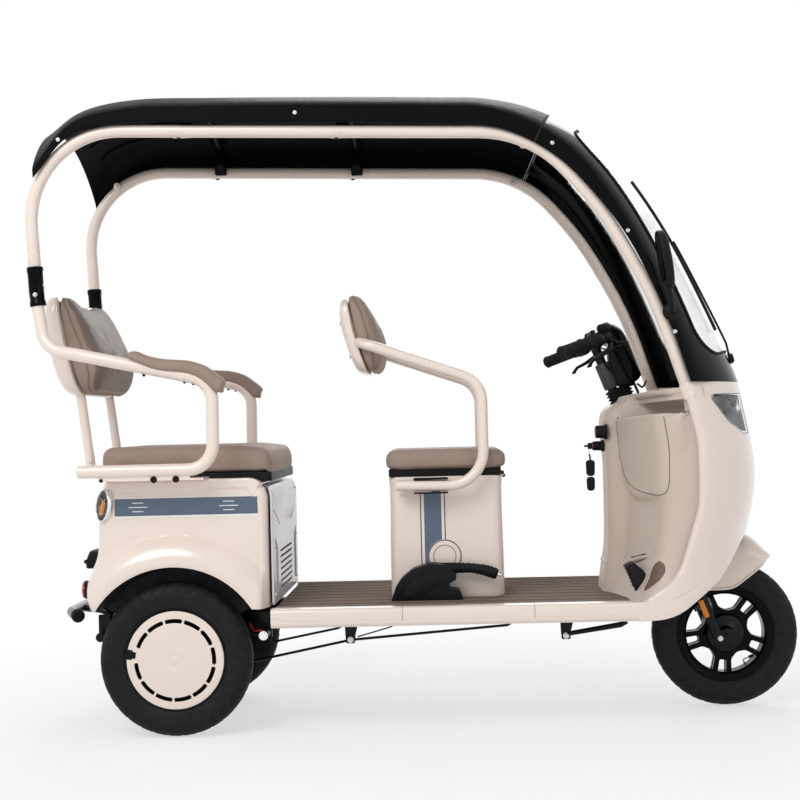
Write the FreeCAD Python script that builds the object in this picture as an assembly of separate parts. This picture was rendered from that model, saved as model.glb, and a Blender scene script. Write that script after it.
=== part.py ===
"""Electric passenger tricycle with a fixed canopy, in millimetres.

Frame: +X forward, +Y to the vehicle's left, +Z up, with the origin on the ground
at the middle of the overall length and width.
"""
import FreeCAD, Part
import os
from math import cos, radians, sin, tan

V = FreeCAD.Vector
AX, AY, AZ = V(1, 0, 0), V(0, 1, 0), V(0, 0, 1)
ORIGIN = V(0, 0, 0)

# ---- running gear -------------------------------------------------------------
WHEELBASE = 1520.0
TRACK = 626.0                # between the rear tyres' mid planes
REAR_X = -670.0              # rear axle
FRONT_X = REAR_X + WHEELBASE  # front axle
TYRE_R = 208.0
TYRE_W = 80.0
BEAD_R = 127.0               # where the tyre sits on the rim
RIM_LIP_R = 136.0
RIM_W = 62.0                 # over the rim's lips
AXLE_Z = TYRE_R
RUN_GAP = 0.3                # between faces that turn past each other
SEAT_GAP = 0.3               # between a piece and what it rests on

# ---- steering -----------------------------------------------------------------
RAKE = 21.0                  # steering axis back from upright, degrees
STEER_X = FRONT_X - 68.0     # steering axis at STEER_Z
STEER_Z = 308.0
STEER_LIMIT = 40.0
STEM_R = 14.0
HEAD_R = 24.0
HEAD_LOW, HEAD_HIGH = 520.0, 850.0   # heights of the head tube's ends
FORK_HALF = 64.0             # leg centres from the mid plane
LEG_R = 15.0
FRONT_AXLE_R = 8.0
STEM_TOP = 1028.0
CLAMP_TOP = 1066.0
BAR_R = 11.0
GRIP_R = 17.0
GRIP_LENGTH = 112.0
BOOT_LOW = HEAD_HIGH + 8.0

# ---- front cowl ----------------------------------------------------------------
COWL_HALF = 374.0
COWL_T = 10.0
COWL_TOP = 918.0

# ---- floor --------------------------------------------------------------------
FLOOR_HALF = COWL_HALF
FLOOR_LOW, FLOOR_TOP = 290.0, 340.0
DECK_T = 14.0
MAT_T = 12.0
SILL_W = 34.0
FLOOR_REAR = REAR_X + 262.0
FLOOR_FRONT = FRONT_X - 280.0
DECK_TOP = FLOOR_TOP - MAT_T

# ---- canopy --------------------------------------------------------------------
CANOPY_R = 17.0
CANOPY_STEP = 3.0            # from the cowl's inner face to the canopy tube
CANOPY_HALF = COWL_HALF - COWL_T - CANOPY_STEP - CANOPY_R  # tube centres from the mid plane
SLEEVE_R = 22.0
SHELL_STEP = 2.0             # the canopy shell stands in from the cowl's side
SHELL_HALF = COWL_HALF - SHELL_STEP
SHELL_T = 7.0
WINDOW_HALF = 242.0
STRAP_W = 26.0

# ---- rear box and seat -----------------------------------------------------------
BODY_HALF = 330.0
BODY_TOP = 691.0
BODY_BASE = 342.0
BODY_T = 12.0
ARCH_R = 250.0
FENDER_REACH = 20.0          # flare beyond the tyre's outer face
FENDER_HALF = TRACK / 2 + TYRE_W / 2 + FENDER_REACH
WELL_GAP = 19.0              # from the tyre's inner face to the wheel housing
WELL_INNER = TRACK / 2 - TYRE_W / 2 - WELL_GAP
ARM_HALF = 398.0
ARM_R = 17.0
REAR_SEAT_HALF = 300.0
REAR_SEAT_TOP = 780.0
LID_T = 14.0

# ---- driver's seat ----------------------------------------------------------------
PED_REAR, PED_FRONT = REAR_X + 574.0, REAR_X + 893.0
PED_HALF = 160.0
PED_TOP = 678.0
PED_T = 10.0
DRIVER_HALF = 180.0
DRIVER_SEAT_TOP = 760.0
DRIVER_ARM_HALF = 206.0
DRIVER_ARM_R = 15.0
HINGE_R = 5.5
PLATE_HOLE_Y = 80.0
PLATE_HOLE_Z = 400.0
PLATE_HOLE_R = 3.5

CROSS_MEMBERS = 10

parts = {}


# ==== geometry helpers ===============================================================
def box(x0, x1, y0, y1, z0, z1):
    """Box between two corners."""
    return Part.makeBox(x1 - x0, y1 - y0, z1 - z0, V(x0, y0, z0))


def rod(start, end, radius):
    """Round bar between two points."""
    along = end - start
    return Part.makeCylinder(radius, along.Length, start, along)


def mirrored(shape):
    """The same shape on the other side of the mid plane."""
    return shape.mirror(ORIGIN, AY)


def both_sides(shape):
    """Two like solids, one each side, that don't touch."""
    return Part.makeCompound([shape, mirrored(shape)])


def fuse(shapes):
    """One solid from overlapping ones."""
    whole = shapes[0].multiFuse(shapes[1:]) if len(shapes) > 1 else shapes[0]
    return whole.removeSplitter()


def path_edges(corners, closed=False):
    """Straight runs joined by tangent arcs. A corner is (point, arc radius)."""
    count = len(corners)
    cuts = []
    for index, (point, radius) in enumerate(corners):
        before = corners[index - 1][0]
        after = corners[(index + 1) % count][0]
        if radius <= 0 or (not closed and index in (0, count - 1)):
            cuts.append((point, None, point))
            continue
        along_in = (point - before).normalize()
        along_out = (after - point).normalize()
        half_turn = along_in.getAngle(along_out) / 2
        reach = radius * tan(half_turn)
        centre = point + (along_out - along_in).normalize() * (radius / cos(half_turn))
        middle = centre + (point - centre).normalize() * radius
        cuts.append((point - along_in * reach, middle, point + along_out * reach))
    edges = []
    last = count if closed else count - 1
    for index in range(count):
        enter, middle, leave = cuts[index]
        if middle is not None:
            edges.append(Part.Arc(enter, middle, leave).toShape())
        if index < last:
            following = cuts[(index + 1) % count][0]
            if (following - leave).Length > 1e-4:
                edges.append(Part.LineSegment(leave, following).toShape())
    return edges


def tube(corners, radius):
    """Bent round tube whose centre line follows the corners, made solid."""
    path = Part.Wire(path_edges(corners))
    first, second = corners[0][0], corners[1][0]
    ring = Part.Wire([Part.Circle(first, (second - first).normalize(), radius).toShape()])
    return path.makePipeShell([ring], True, False)


def side_path(points, y):
    """Corners in a plane beside the mid plane, from rows of x, z, arc radius."""
    return [(V(x, y, z), r) for x, z, r in points]


def side_face(points):
    """Flat face in the mid plane, from rows of x, z, arc radius."""
    return Part.Face(Part.Wire(path_edges(side_path(points, 0), closed=True)))


def side_prism(points, y0, y1):
    """Side outline from rows of x, z, arc radius, drawn from y0 to y1."""
    face = side_face(points)
    face.translate(V(0, y0, 0))
    return face.extrude(V(0, y1 - y0, 0))


def plan_prism(points, z0, z1):
    """Plan outline from rows of x, y, arc radius, drawn from z0 to z1."""
    corners = [(V(x, y, z0), r) for x, y, r in points]
    face = Part.Face(Part.Wire(path_edges(corners, closed=True)))
    return face.extrude(V(0, 0, z1 - z0))


def turned(points, centre_x, centre_z):
    """Solid turned about a cross axis, from rows of radius, y."""
    corners = [(V(centre_x, y, centre_z + r), 0) for r, y in points]
    face = Part.Face(Part.Wire(path_edges(corners, closed=True)))
    return face.revolve(V(centre_x, 0, centre_z), AY, 360)


def steer_point(height, ahead=0.0, y=0.0):
    """Point on the steering axis at a height, or that far ahead of it square to it."""
    x = STEER_X - (height - STEER_Z) * tan(radians(RAKE))
    return V(x + ahead * cos(radians(RAKE)), y, height + ahead * sin(radians(RAKE)))


# ==== wheels ===========================================================================
def tyre(x, y):
    """Road tyre as a turned ring with rounded shoulders."""
    half = TYRE_W / 2
    bead_half = RIM_W / 2 - 6
    profile = [
        (BEAD_R + SEAT_GAP, y - bead_half + SEAT_GAP), (RIM_LIP_R + 1, y - bead_half + SEAT_GAP),
        (RIM_LIP_R + 6, y - bead_half - 4), (TYRE_R - 44, y - half),
        (TYRE_R - 24, y - half + 2), (TYRE_R - 9, y - half + 13), (TYRE_R, y - 14),
        (TYRE_R, y + 14), (TYRE_R - 9, y + half - 13), (TYRE_R - 24, y + half - 2),
        (TYRE_R - 44, y + half), (RIM_LIP_R + 6, y + bead_half + 4),
        (RIM_LIP_R + 1, y + bead_half - SEAT_GAP), (BEAD_R + SEAT_GAP, y + bead_half - SEAT_GAP),
    ]
    return turned(profile, x, AXLE_Z)


def rear_wheel(side):
    """Steel wheel with a domed cover outside and a hub that turns on its stub."""
    y = side * TRACK / 2
    out = side
    half = RIM_W / 2
    bead_half = half - 6
    rim = [
        (BEAD_R, y - bead_half), (RIM_LIP_R, y - half + 5), (RIM_LIP_R, y - half),
        (BEAD_R - 9, y - half), (BEAD_R - 9, y + half), (RIM_LIP_R, y + half),
        (RIM_LIP_R, y + half - 5), (BEAD_R, y + bead_half),
    ]
    cover = [
        (0, y + out * (half - 8)), (BEAD_R - 6, y + out * (half - 8)), (BEAD_R - 6, y + out * half),
        (RIM_LIP_R - 2, y + out * half), (RIM_LIP_R - 6, y + out * (half + 7)),
        (RIM_LIP_R - 44, y + out * (half + 9)), (0, y + out * (half + 9)),
    ]
    hub = [
        (STUB_R + RUN_GAP, y - out * (half - 4)), (HUB_R, y - out * (half - 4)),
        (HUB_R, y + out * (half - 8)), (STUB_R + RUN_GAP, y + out * (half - 8)),
    ]
    return fuse([turned(rows, REAR_X, AXLE_Z) for rows in (rim, cover, hub)])


def front_wheel():
    """Cast wheel: rim, five pairs of spokes and a drum hub."""
    half = RIM_W / 2
    bead_half = half - 6
    rim = turned([
        (BEAD_R, -bead_half), (RIM_LIP_R, -half + 5), (RIM_LIP_R, -half), (SPOKE_RIM_R, -half + 8),
        (SPOKE_RIM_R, half - 8), (RIM_LIP_R, half), (RIM_LIP_R, half - 5), (BEAD_R, bead_half),
    ], FRONT_X, AXLE_Z)
    drum = turned([
        (FRONT_AXLE_R + RUN_GAP, -DRUM_HALF), (DRUM_R, -DRUM_HALF),
        (DRUM_R, DRUM_HALF), (FRONT_AXLE_R + RUN_GAP, DRUM_HALF),
    ], FRONT_X, AXLE_Z)
    solids = [rim, drum]
    for index in range(SPOKE_PAIRS):
        middle = 48 + index * 360 / SPOKE_PAIRS
        for lean in (-1, 1):
            spoke = box(DRUM_R - 6, SPOKE_RIM_R + 4, -13, 13, lean * 16 - 6, lean * 16 + 6)
            spoke.rotate(ORIGIN, AY, -middle)
            spoke.translate(V(FRONT_X, 0, AXLE_Z))
            solids.append(spoke)
    return fuse(solids)


STUB_R = 14.0
HUB_R = 40.0
DRUM_R = 54.0
DRUM_HALF = 30.0
SPOKE_RIM_R = 112.0
SPOKE_PAIRS = 5

parts["front_tyre"] = tyre(FRONT_X, 0)
parts["front_wheel"] = front_wheel()
for side, word in ((-1, "right"), (1, "left")):
    parts["rear_tyre_" + word] = tyre(REAR_X, side * TRACK / 2)
    parts["rear_wheel_" + word] = rear_wheel(side)

# ==== rear axle, springs and frame =======================================================
AXLE_TUBE_R = 26.0
MOTOR_R = 74.0
BRAKE_R = 78.0
BRAKE_OUT = TRACK / 2 - RIM_W / 2 + 4 - RUN_GAP
SPRING_Y = TRACK / 2 - 108  # half the track, less the tyre's half width and its room
SPRING_REACH = 226.0
SPRING_W = 44.0
EYE_Z = AXLE_Z + 50.0
RAIL_Y = 150.0
RAIL_W = 40.0
RAIL_TOP = FLOOR_TOP - MAT_T - DECK_T
RAIL_LOW = RAIL_TOP - 26.0
DOWN_TUBE_R = 21.0


def rear_axle():
    """Motor and differential case with an axle tube, brake drums and wheel stubs."""
    shapes = [rod(V(REAR_X, -BRAKE_OUT + 4, AXLE_Z), V(REAR_X, BRAKE_OUT - 4, AXLE_Z), AXLE_TUBE_R)]
    shapes.append(rod(V(REAR_X, -70, AXLE_Z), V(REAR_X, 45, AXLE_Z), MOTOR_R))
    shapes.append(rod(V(REAR_X, 45, AXLE_Z), V(REAR_X, 130, AXLE_Z), MOTOR_R - 16))
    for side in (-1, 1):
        shapes.append(rod(V(REAR_X, side * (BRAKE_OUT - 26), AXLE_Z), V(REAR_X, side * BRAKE_OUT, AXLE_Z), BRAKE_R))
        tip = side * (TRACK / 2 + RIM_W / 2 - 8 - RUN_GAP)
        shapes.append(rod(V(REAR_X, side * (BRAKE_OUT - 10), AXLE_Z), V(REAR_X, tip, AXLE_Z), STUB_R))
    return fuse(shapes)


def rear_springs():
    """Leaf packs seated on the axle tube, hung from the rails at both eyes."""
    shapes = []
    seat = AXLE_Z + AXLE_TUBE_R
    thick = 7.0
    for index, reach in enumerate((SPRING_REACH, SPRING_REACH * 0.7, SPRING_REACH * 0.45)):
        low = EYE_Z - thick - index * thick
        shapes.append(box(REAR_X - reach, REAR_X + reach, SPRING_Y - SPRING_W / 2,
                          SPRING_Y + SPRING_W / 2, low, low + thick))
    shapes.append(box(REAR_X - 34, REAR_X + 34, SPRING_Y - 30, SPRING_Y + 30, seat + SEAT_GAP, EYE_Z - 2))
    for end in (-1, 1):
        x = REAR_X + end * SPRING_REACH
        shapes.append(rod(V(x, SPRING_Y - 30, EYE_Z), V(x, SPRING_Y + 30, EYE_Z), 13))
        shapes.append(box(x - 16, x + 16, SPRING_Y - 30, SPRING_Y - 22, EYE_Z - 14, RAIL_TOP - SEAT_GAP))
        shapes.append(box(x - 16, x + 16, RAIL_Y + RAIL_W / 2, SPRING_Y - 22, RAIL_LOW, RAIL_TOP - SEAT_GAP))
    return both_sides(fuse(shapes))


def down_tube(gap):
    """Tube from the rails up to the steering head, or the room it needs."""
    foot = V(FRONT_X - 360, 0, (RAIL_LOW + RAIL_TOP) / 2)
    knee = V(FRONT_X - 262, 0, 400)
    return tube([(foot, 0), (knee, 60), (steer_point(HEAD_LOW + 75), 0)], DOWN_TUBE_R + gap)


def main_frame():
    """Two long rails with cross members, a down tube and the steering head."""
    rear_end = REAR_X - 215
    front_end = FRONT_X - 330
    shapes = []
    for side in (-1, 1):
        y = side * RAIL_Y
        shapes.append(box(rear_end, front_end, y - RAIL_W / 2, y + RAIL_W / 2, RAIL_LOW, RAIL_TOP))
    for index in range(CROSS_MEMBERS):
        x = rear_end + (front_end - rear_end - 30) * index / (CROSS_MEMBERS - 1)
        shapes.append(box(x, x + 30, -RAIL_Y, RAIL_Y, RAIL_LOW, RAIL_TOP))
    shapes.append(down_tube(0))
    shapes.append(rod(steer_point(HEAD_LOW), steer_point(HEAD_HIGH), HEAD_R))
    whole = fuse(shapes)
    bore = rod(steer_point(HEAD_LOW - 10), steer_point(HEAD_HIGH + 10), STEM_R + RUN_GAP)
    whole = whole.cut(bore)
    return whole


parts["rear_axle"] = rear_axle()
parts["rear_springs"] = rear_springs()
parts["main_frame"] = main_frame()


# ==== floor ==============================================================================
def floor_pan():
    """Moulded floor: a deck with a rounded sill down each side."""
    deck = box(FLOOR_REAR, FRONT_X - 190, -FLOOR_HALF + SILL_W, FLOOR_HALF - SILL_W, DECK_TOP - DECK_T, DECK_TOP)
    sill = box(FLOOR_REAR, FLOOR_FRONT, -FLOOR_HALF, -FLOOR_HALF + SILL_W, FLOOR_LOW, FLOOR_TOP)
    sill = sill.makeFillet(14, [edge for edge in sill.Edges if abs(edge.CenterOfMass.y + FLOOR_HALF) < 1
                                and edge.Length > 500])
    return fuse([deck, sill, mirrored(sill)]).cut(down_tube(1))


def floor_mat():
    """Ribbed mat that lies in the floor between the sills."""
    half = FLOOR_HALF - SILL_W - SEAT_GAP
    mat = box(FLOOR_REAR + 8, FLOOR_FRONT - 70, -half, half, DECK_TOP, FLOOR_TOP)
    return mat.cut(down_tube(1))


parts["floor_pan"] = floor_pan()
parts["floor_mat"] = floor_mat()

# ==== front cowl and leg shield ==========================================================
# Plan sections of the cowl: height, how far the nose is ahead of the front axle.
COWL_NOSE = [(280.0, 30.0), (400.0, 42.0), (500.0, 65.0), (585.0, 85.0), (670.0, 93.0), (COWL_TOP - 162, 84.0),
             (COWL_TOP + 2, 46.0)]
COWL_SWEEP = 196.0           # depth of the nose's curve


def cowl_section(z, nose, inset):
    """Plan outline at one height: two straight sides and the round nose."""
    half = COWL_HALF - inset
    back = FRONT_X - 300
    side_x = FRONT_X + nose - COWL_SWEEP
    tip = FRONT_X + nose - inset
    edges = [
        Part.LineSegment(V(back, -half, z), V(side_x, -half, z)).toShape(),
        Part.Arc(V(side_x, -half, z), V(tip, 0, z), V(side_x, half, z)).toShape(),
        Part.LineSegment(V(side_x, half, z), V(back, half, z)).toShape(),
        Part.LineSegment(V(back, half, z), V(back, -half, z)).toShape(),
    ]
    return Part.Wire(edges)


def cowl_block(inset):
    """The cowl's outer form, or that form drawn in by the inset, as a solid."""
    return Part.makeLoft([cowl_section(z, nose, inset) for z, nose in COWL_NOSE], True)


# Side outline of the cowl: x from the front axle, z, arc radius.
COWL_SIDE = [
    (-141, COWL_TOP, 0), (-100, 760, 220), (-102, 590, 160), (-165, 400, 190), (-262, FLOOR_TOP - 2, 60),
    (-280, FLOOR_TOP - 2, 0), (-280, FLOOR_LOW, 0), (-190, 296, 160), (-60, 390, 150), (30, 502, 60),
    (120, 522, 0), (120, COWL_TOP, 0),
]
# Lamp outline on the cowl: x from the front axle, z, arc radius.
LAMP_SIDE = [(-45, COWL_TOP - 38, 8), (60, COWL_TOP - 34, 0), (60, COWL_TOP - 118, 0), (38, COWL_TOP - 132, 12),
             (-2, COWL_TOP - 103, 25)]
LAMP_Y = 62.0


def front_rows(rows):
    """Rows of x from the front axle, z, radius moved into the row frame."""
    return [(FRONT_X + x, z, r) for x, z, r in rows]


def lamp_cutter(gap):
    """Block through the cowl where the right lamp sits."""
    rows = front_rows(LAMP_SIDE)
    prism = side_prism(rows, -COWL_HALF - 20, -LAMP_Y + gap)
    return prism


def front_cowl():
    """Curved front shield with wings that sweep down into the floor's sills."""
    shell = cowl_block(0).cut(cowl_block(COWL_T))
    outline = side_prism(front_rows(COWL_SIDE), -COWL_HALF - 40, COWL_HALF + 40)
    shell = shell.common(outline)
    for cutter in (lamp_cutter(0), mirrored(lamp_cutter(0))):
        shell = shell.cut(cutter)
    return shell


def headlamps():
    """Lamp units that fill the cowl's two openings, flush with its skin."""
    ring = cowl_block(-2).cut(cowl_block(COWL_T + 18))
    rows = [(x, z, r) for x, z, r in front_rows(LAMP_SIDE)]
    inside = side_face(rows).makeOffset2D(-SEAT_GAP)
    inside.translate(V(0, -COWL_HALF - 20, 0))
    block = inside.extrude(V(0, COWL_HALF + 20 - LAMP_Y - SEAT_GAP, 0))
    return both_sides(ring.common(block))


# Column cover seen from the side: x from the front axle, z, arc radius.
SHIELD_REAR = [
    (-350, DECK_TOP + SEAT_GAP, 0), (-330, 470, 80), (-328, 690, 120), (-336, 790, 60), (-322, 862, 30),
    (-200, 898, 60), (-150, 904, 0), (-118, 800, 0), (-113, 590, 120), (-176, 410, 150), (-262, DECK_TOP + SEAT_GAP + 30, 40),
    (-262, DECK_TOP + SEAT_GAP, 0),
]
SHIELD_T = 8.0
# Plan of the column cover: x from the front axle, half width.
COLUMN_HALF = 84.0


def shield_block(inset):
    """The leg shield's form, with its column bulge, drawn in by the inset."""
    half = COWL_HALF - COWL_T - SEAT_GAP - inset
    plan = plan_prism([
        (FRONT_X - 350 + inset, -COLUMN_HALF + inset, 0), (FRONT_X - 292 + inset, -COLUMN_HALF - 36 + inset, 60),
        (FRONT_X - 210 + inset, -half + 20, 60), (FRONT_X - 150 + inset, -half, 30), (FRONT_X - 60, -half, 0),
        (FRONT_X - 60, half, 0), (FRONT_X - 150 + inset, half, 30), (FRONT_X - 210 + inset, half - 20, 60),
        (FRONT_X - 292 + inset, COLUMN_HALF + 36 - inset, 60), (FRONT_X - 350 + inset, COLUMN_HALF - inset, 0),
    ], DECK_TOP - 40, COWL_TOP + 40)
    return plan


def shield_form():
    """The leg shield's outer form, filled."""
    return shield_block(0).common(side_prism(front_rows(SHIELD_REAR), -COWL_HALF, COWL_HALF))


def legshield():
    """Inner shield behind the cowl, with the column cover."""
    rows = front_rows(SHIELD_REAR)
    outer = shield_form()
    inner_face = side_face(rows).makeOffset2D(-SHIELD_T)
    inner_face.translate(V(0, -COWL_HALF, 0))
    inner_side = inner_face.extrude(V(0, 2 * COWL_HALF, 0))
    inner = shield_block(SHIELD_T).common(inner_side)
    opening = side_prism([
        (FRONT_X - 250, 380, 0), (FRONT_X - 168, 452, 0), (FRONT_X - 124, 600, 0), (FRONT_X - 128, 800, 0),
        (FRONT_X - 20, 800, 0), (FRONT_X - 20, 380, 0)], -COWL_HALF + 60, COWL_HALF - 60)
    shell = outer.cut(inner).cut(opening)
    column_hole = rod(steer_point(820), steer_point(1000), HEAD_R + 16)
    fork_room = rod(steer_point(350), steer_point(HEAD_LOW + 12), FORK_HALF + 40)
    feet = [canopy_foot(1), mirrored(canopy_foot(1))]
    return shell.cut([column_hole, fork_room, down_tube(2)] + canopy_tubes(CANOPY_R + 1) + feet)


parts["headlamps"] = headlamps()

# ==== canopy ==============================================================================
# Centre line of a canopy tube: end it is measured from, x from that axle, z, arc radius.
CANOPY_LINE = [
    ("rear", -353, 1183, 0), ("rear", -376, 1641, 235), ("front", -535, 1597, 350),
    ("front", -355, 1388, 900), ("front", -230, 1150, 1200), ("front", -140, 868, 0),
]
AXLE_OF = {"rear": REAR_X, "front": FRONT_X}
# Arches across the canopy: axle, x from it, z of the tube there, lean from level in degrees,
# height of the shell's shoulder above the tube, height of its crown.
ARCHES = [
    ("rear", -350, 1492, 93, 44, 196), ("rear", -250, 1602, 91, 50, 144), ("rear", -110, 1632, 90, 58, 138),
    ("rear", 100, 1627, 90, 66, 141), ("rear", 430, 1617, 90, 69, 143), ("front", -775, 1605, 90, 70, 144), ("front", -650, 1596, 86, 68, 146),
    ("front", -535, 1548, 64, 66, 160), ("front", -430, 1465, 46, 60, 166), ("front", -305, 1301, 28, 42, 158),
    ("front", -205, 1085, 18, 34, 170), ("front", -149, 916, 12, 30, 193), ("front", -137, 860, 9, 30, 200),
]
SPLIT_ARCH = ARCHES[7]       # the roof panel ends at this arch


def arch_wire(row, inset):
    """One arch across the canopy, square to the tubes."""
    axle, dx, z, lean, shoulder, crown = row
    half = SHELL_HALF - inset
    out = V(cos(radians(lean)), 0, sin(radians(lean)))
    base = V(AXLE_OF[axle] + dx, 0, z)
    low = base + out * (CANOPY_R + SEAT_GAP - 4 * inset)
    edge = base + out * (shoulder - inset)
    top = base + out * (crown - inset)
    left, right = V(0, half, 0), V(0, -half, 0)
    return Part.Wire([
        Part.LineSegment(low + right, edge + right).toShape(),
        Part.Arc(edge + right, top, edge + left).toShape(),
        Part.LineSegment(edge + left, low + left).toShape(),
        Part.LineSegment(low + left, low + right).toShape(),
    ])


def arch_loft(rows, inset):
    """Solid under a run of arches."""
    return Part.makeLoft([arch_wire(row, inset) for row in rows], True)


def arch_shell(rows):
    """Thin shell over a run of arches, open below."""
    return arch_loft(rows, 0).cut(arch_loft(rows, SHELL_T))


def canopy_tubes(radius):
    """Both canopy tubes, or the room they need, at a radius."""
    return [tube([(V(AXLE_OF[axle] + dx, side * CANOPY_HALF, z), r) for axle, dx, z, r in CANOPY_LINE], radius)
            for side in (-1, 1)]


def canopy_frame():
    """Bent canopy tubes, each with a foot plate bolted inside the cowl."""
    return both_sides(fuse([canopy_tubes(CANOPY_R)[0], canopy_foot(0)]))


def canopy_foot(gap):
    """Right foot plate of the canopy frame, or the room it needs."""
    plate = box(FRONT_X - 136 - gap, FRONT_X - 120 + gap, -COWL_HALF, -CANOPY_HALF, COWL_TOP - 46 - gap, COWL_TOP - 18 + gap)
    return plate.common(cowl_block(COWL_T + SEAT_GAP))


def roof_straps():
    """Cross straps that carry the roof panel on the tubes."""
    straps = []
    for x, z in ((REAR_X + 55, 1628), (REAR_X + 480, 1614)):
        straps.append(box(x - STRAP_W / 2, x + STRAP_W / 2, -SHELL_HALF + SHELL_T - 1, SHELL_HALF - SHELL_T + 1,
                          z + CANOPY_R + SEAT_GAP + 4, z + CANOPY_R + 14))
    return straps


def canopy_roof():
    """Black roof panel with side flanges that sit on the tubes."""
    return fuse([canopy_shell.cut(ahead_of_split(0))] + roof_straps())


def window_block(gap):
    """Block whose inside is the windscreen's place in the front shell."""
    rows = front_rows([(-395, 1545, 30), (-300, 1740, 0), (260, 1300, 0), (180, 1010, 0), (-60, 985, 30),
                       (-190, 1240, 60), (-300, 1400, 60)])
    return side_prism(rows, -WINDOW_HALF + gap, WINDOW_HALF - gap)


def ahead_of_split(gap):
    """Space ahead of the joint between the roof panel and the front shell."""
    axle, dx, z, lean, shoulder, crown = SPLIT_ARCH
    turn = FreeCAD.Placement(V(AXLE_OF[axle] + dx, 0, z), FreeCAD.Rotation(AY, 90 - lean))
    ahead = Part.makeBox(1500, 1000, 1500, V(gap, -500, -700))
    ahead.Placement = turn
    return ahead


def front_shell():
    """Front run of the canopy, down to the cowl's top."""
    above = box(FRONT_X - 700, FRONT_X + 300, -500, 500, COWL_TOP + SEAT_GAP, 2000)
    return canopy_shell.common(ahead_of_split(SEAT_GAP)).common(above)


parts["front_cowl"] = front_cowl().cut(canopy_tubes(CANOPY_R + 1))
parts["legshield"] = legshield()
canopy_shell = arch_shell(ARCHES).cut(canopy_tubes(CANOPY_R + SEAT_GAP))
parts["canopy_frame"] = canopy_frame()
parts["canopy_roof"] = canopy_roof()
front = front_shell()
parts["windscreen_frame"] = front.cut(window_block(0))
parts["windscreen"] = front.common(window_block(SEAT_GAP))

# ==== rear box ==============================================================================
# Side outline of the box: x from the rear axle, z, arc radius.
BOX_SIDE = [
    (-192, BODY_TOP, 18), (-208, 600, 60), (-206, 520, 60), (-246, 402, 20), (-234, BODY_BASE, 0),
    (262, BODY_BASE, 0), (257, BODY_TOP, 34),
]
PANEL_T = 6.0
FRONT_FACE = REAR_X + 262.0
CAVITY_NARROW = 236.0
RIM_HALF = 290.0             # half width of the box's open top


def rear_rows(rows):
    """Rows of x from the rear axle, z, radius moved into the row frame."""
    return [(REAR_X + x, z, r) for x, z, r in rows]


def box_form():
    """Outer form of the rear box with rounded corners in plan."""
    prism = side_prism(rear_rows(BOX_SIDE), -BODY_HALF, BODY_HALF)
    plan = plan_prism([
        (REAR_X - 300, -BODY_HALF, 0), (REAR_X + 262, -BODY_HALF, 22), (REAR_X + 262, BODY_HALF, 22),
        (REAR_X - 300, BODY_HALF, 0)], 0, 1000)
    tail = plan_prism([
        (REAR_X - 246, -BODY_HALF, 60), (REAR_X + 300, -BODY_HALF, 0), (REAR_X + 300, BODY_HALF, 0),
        (REAR_X - 246, BODY_HALF, 60)], 0, 1000)
    return prism.common(plan).common(tail)


def fenders():
    """Flared arch round each rear wheel."""
    ring = turned([
        (ARCH_R, -BODY_HALF + 20), (ARCH_R, -FENDER_HALF), (ARCH_R + 14, -FENDER_HALF + 1),
        (ARCH_R + 44, -FENDER_HALF + 10), (ARCH_R + 72, -BODY_HALF), (ARCH_R + 72, -BODY_HALF + 20),
    ], REAR_X, AXLE_Z)
    keep = box(REAR_X - 246, REAR_X + 262, -FENDER_HALF - 5, 0, BODY_BASE, BODY_TOP)
    return ring.common(keep)


def rear_body():
    """Hollow box over the rear axle with wheel housings and flared arches."""
    body = fuse([box_form(), fenders(), mirrored(fenders())])
    wells = []
    for side in (-1, 1):
        wells.append(rod(V(REAR_X, side * WELL_INNER, AXLE_Z), V(REAR_X, side * 400, AXLE_Z), ARCH_R))
    motor_room = rod(V(REAR_X, -WELL_INNER - 1, AXLE_Z), V(REAR_X, WELL_INNER + 1, AXLE_Z), MOTOR_R + 70)
    rear_wall, front_wall = REAR_X - 190, FRONT_FACE - BODY_T
    trunk = box(rear_wall, front_wall, -CAVITY_NARROW, CAVITY_NARROW, BODY_BASE + BODY_T + 12, BODY_TOP - 12)
    upper = box(rear_wall, front_wall - 8, -BODY_HALF + BODY_T, BODY_HALF - BODY_T,
                AXLE_Z + ARCH_R + BODY_T, BODY_TOP - 12)
    mouth = box(rear_wall + 20, front_wall - 22, -RIM_HALF, RIM_HALF, BODY_TOP - 40, BODY_TOP + 5)
    body = body.cut(wells + [motor_room]).cut([trunk, upper, mouth])
    return body


def rear_box_panel():
    """Front panel of the rear box, with a row of louvre slots low down."""
    half = BODY_HALF - 24
    panel = box(FRONT_FACE + SEAT_GAP, FRONT_FACE + PANEL_T, -half, half, FLOOR_TOP + 8, BODY_TOP - 32)
    slots = []
    for index in range(5):
        low = FLOOR_TOP + 36 + index * 22
        slots.append(box(FRONT_FACE - 1, FRONT_FACE + PANEL_T + 1, -120, 120, low, low + 8))
    return panel.cut(slots)


def battery():
    """Battery pack in the bottom of the rear box, as one block."""
    low = BODY_BASE + BODY_T + 12 + SEAT_GAP
    return box(REAR_X - 150, REAR_X + 190, -170, 170, low, low + 165)


parts["rear_body"] = rear_body()
parts["rear_box_panel"] = rear_box_panel()
parts["battery"] = battery()


# ==== seats that lift ========================================================================
PIN_R = 2.5
REAR_HINGE = V(FRONT_FACE + PANEL_T + HINGE_R + 1.0, 0, BODY_TOP - 6)
DRIVER_HINGE = V(PED_FRONT + HINGE_R + 1.0, 0, PED_TOP - 6)
FIXED_SPANS = ((-60.0, -30.4), (30.4, 60.0))
LID_SPANS = ((-30.0, 30.0),)


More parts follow.
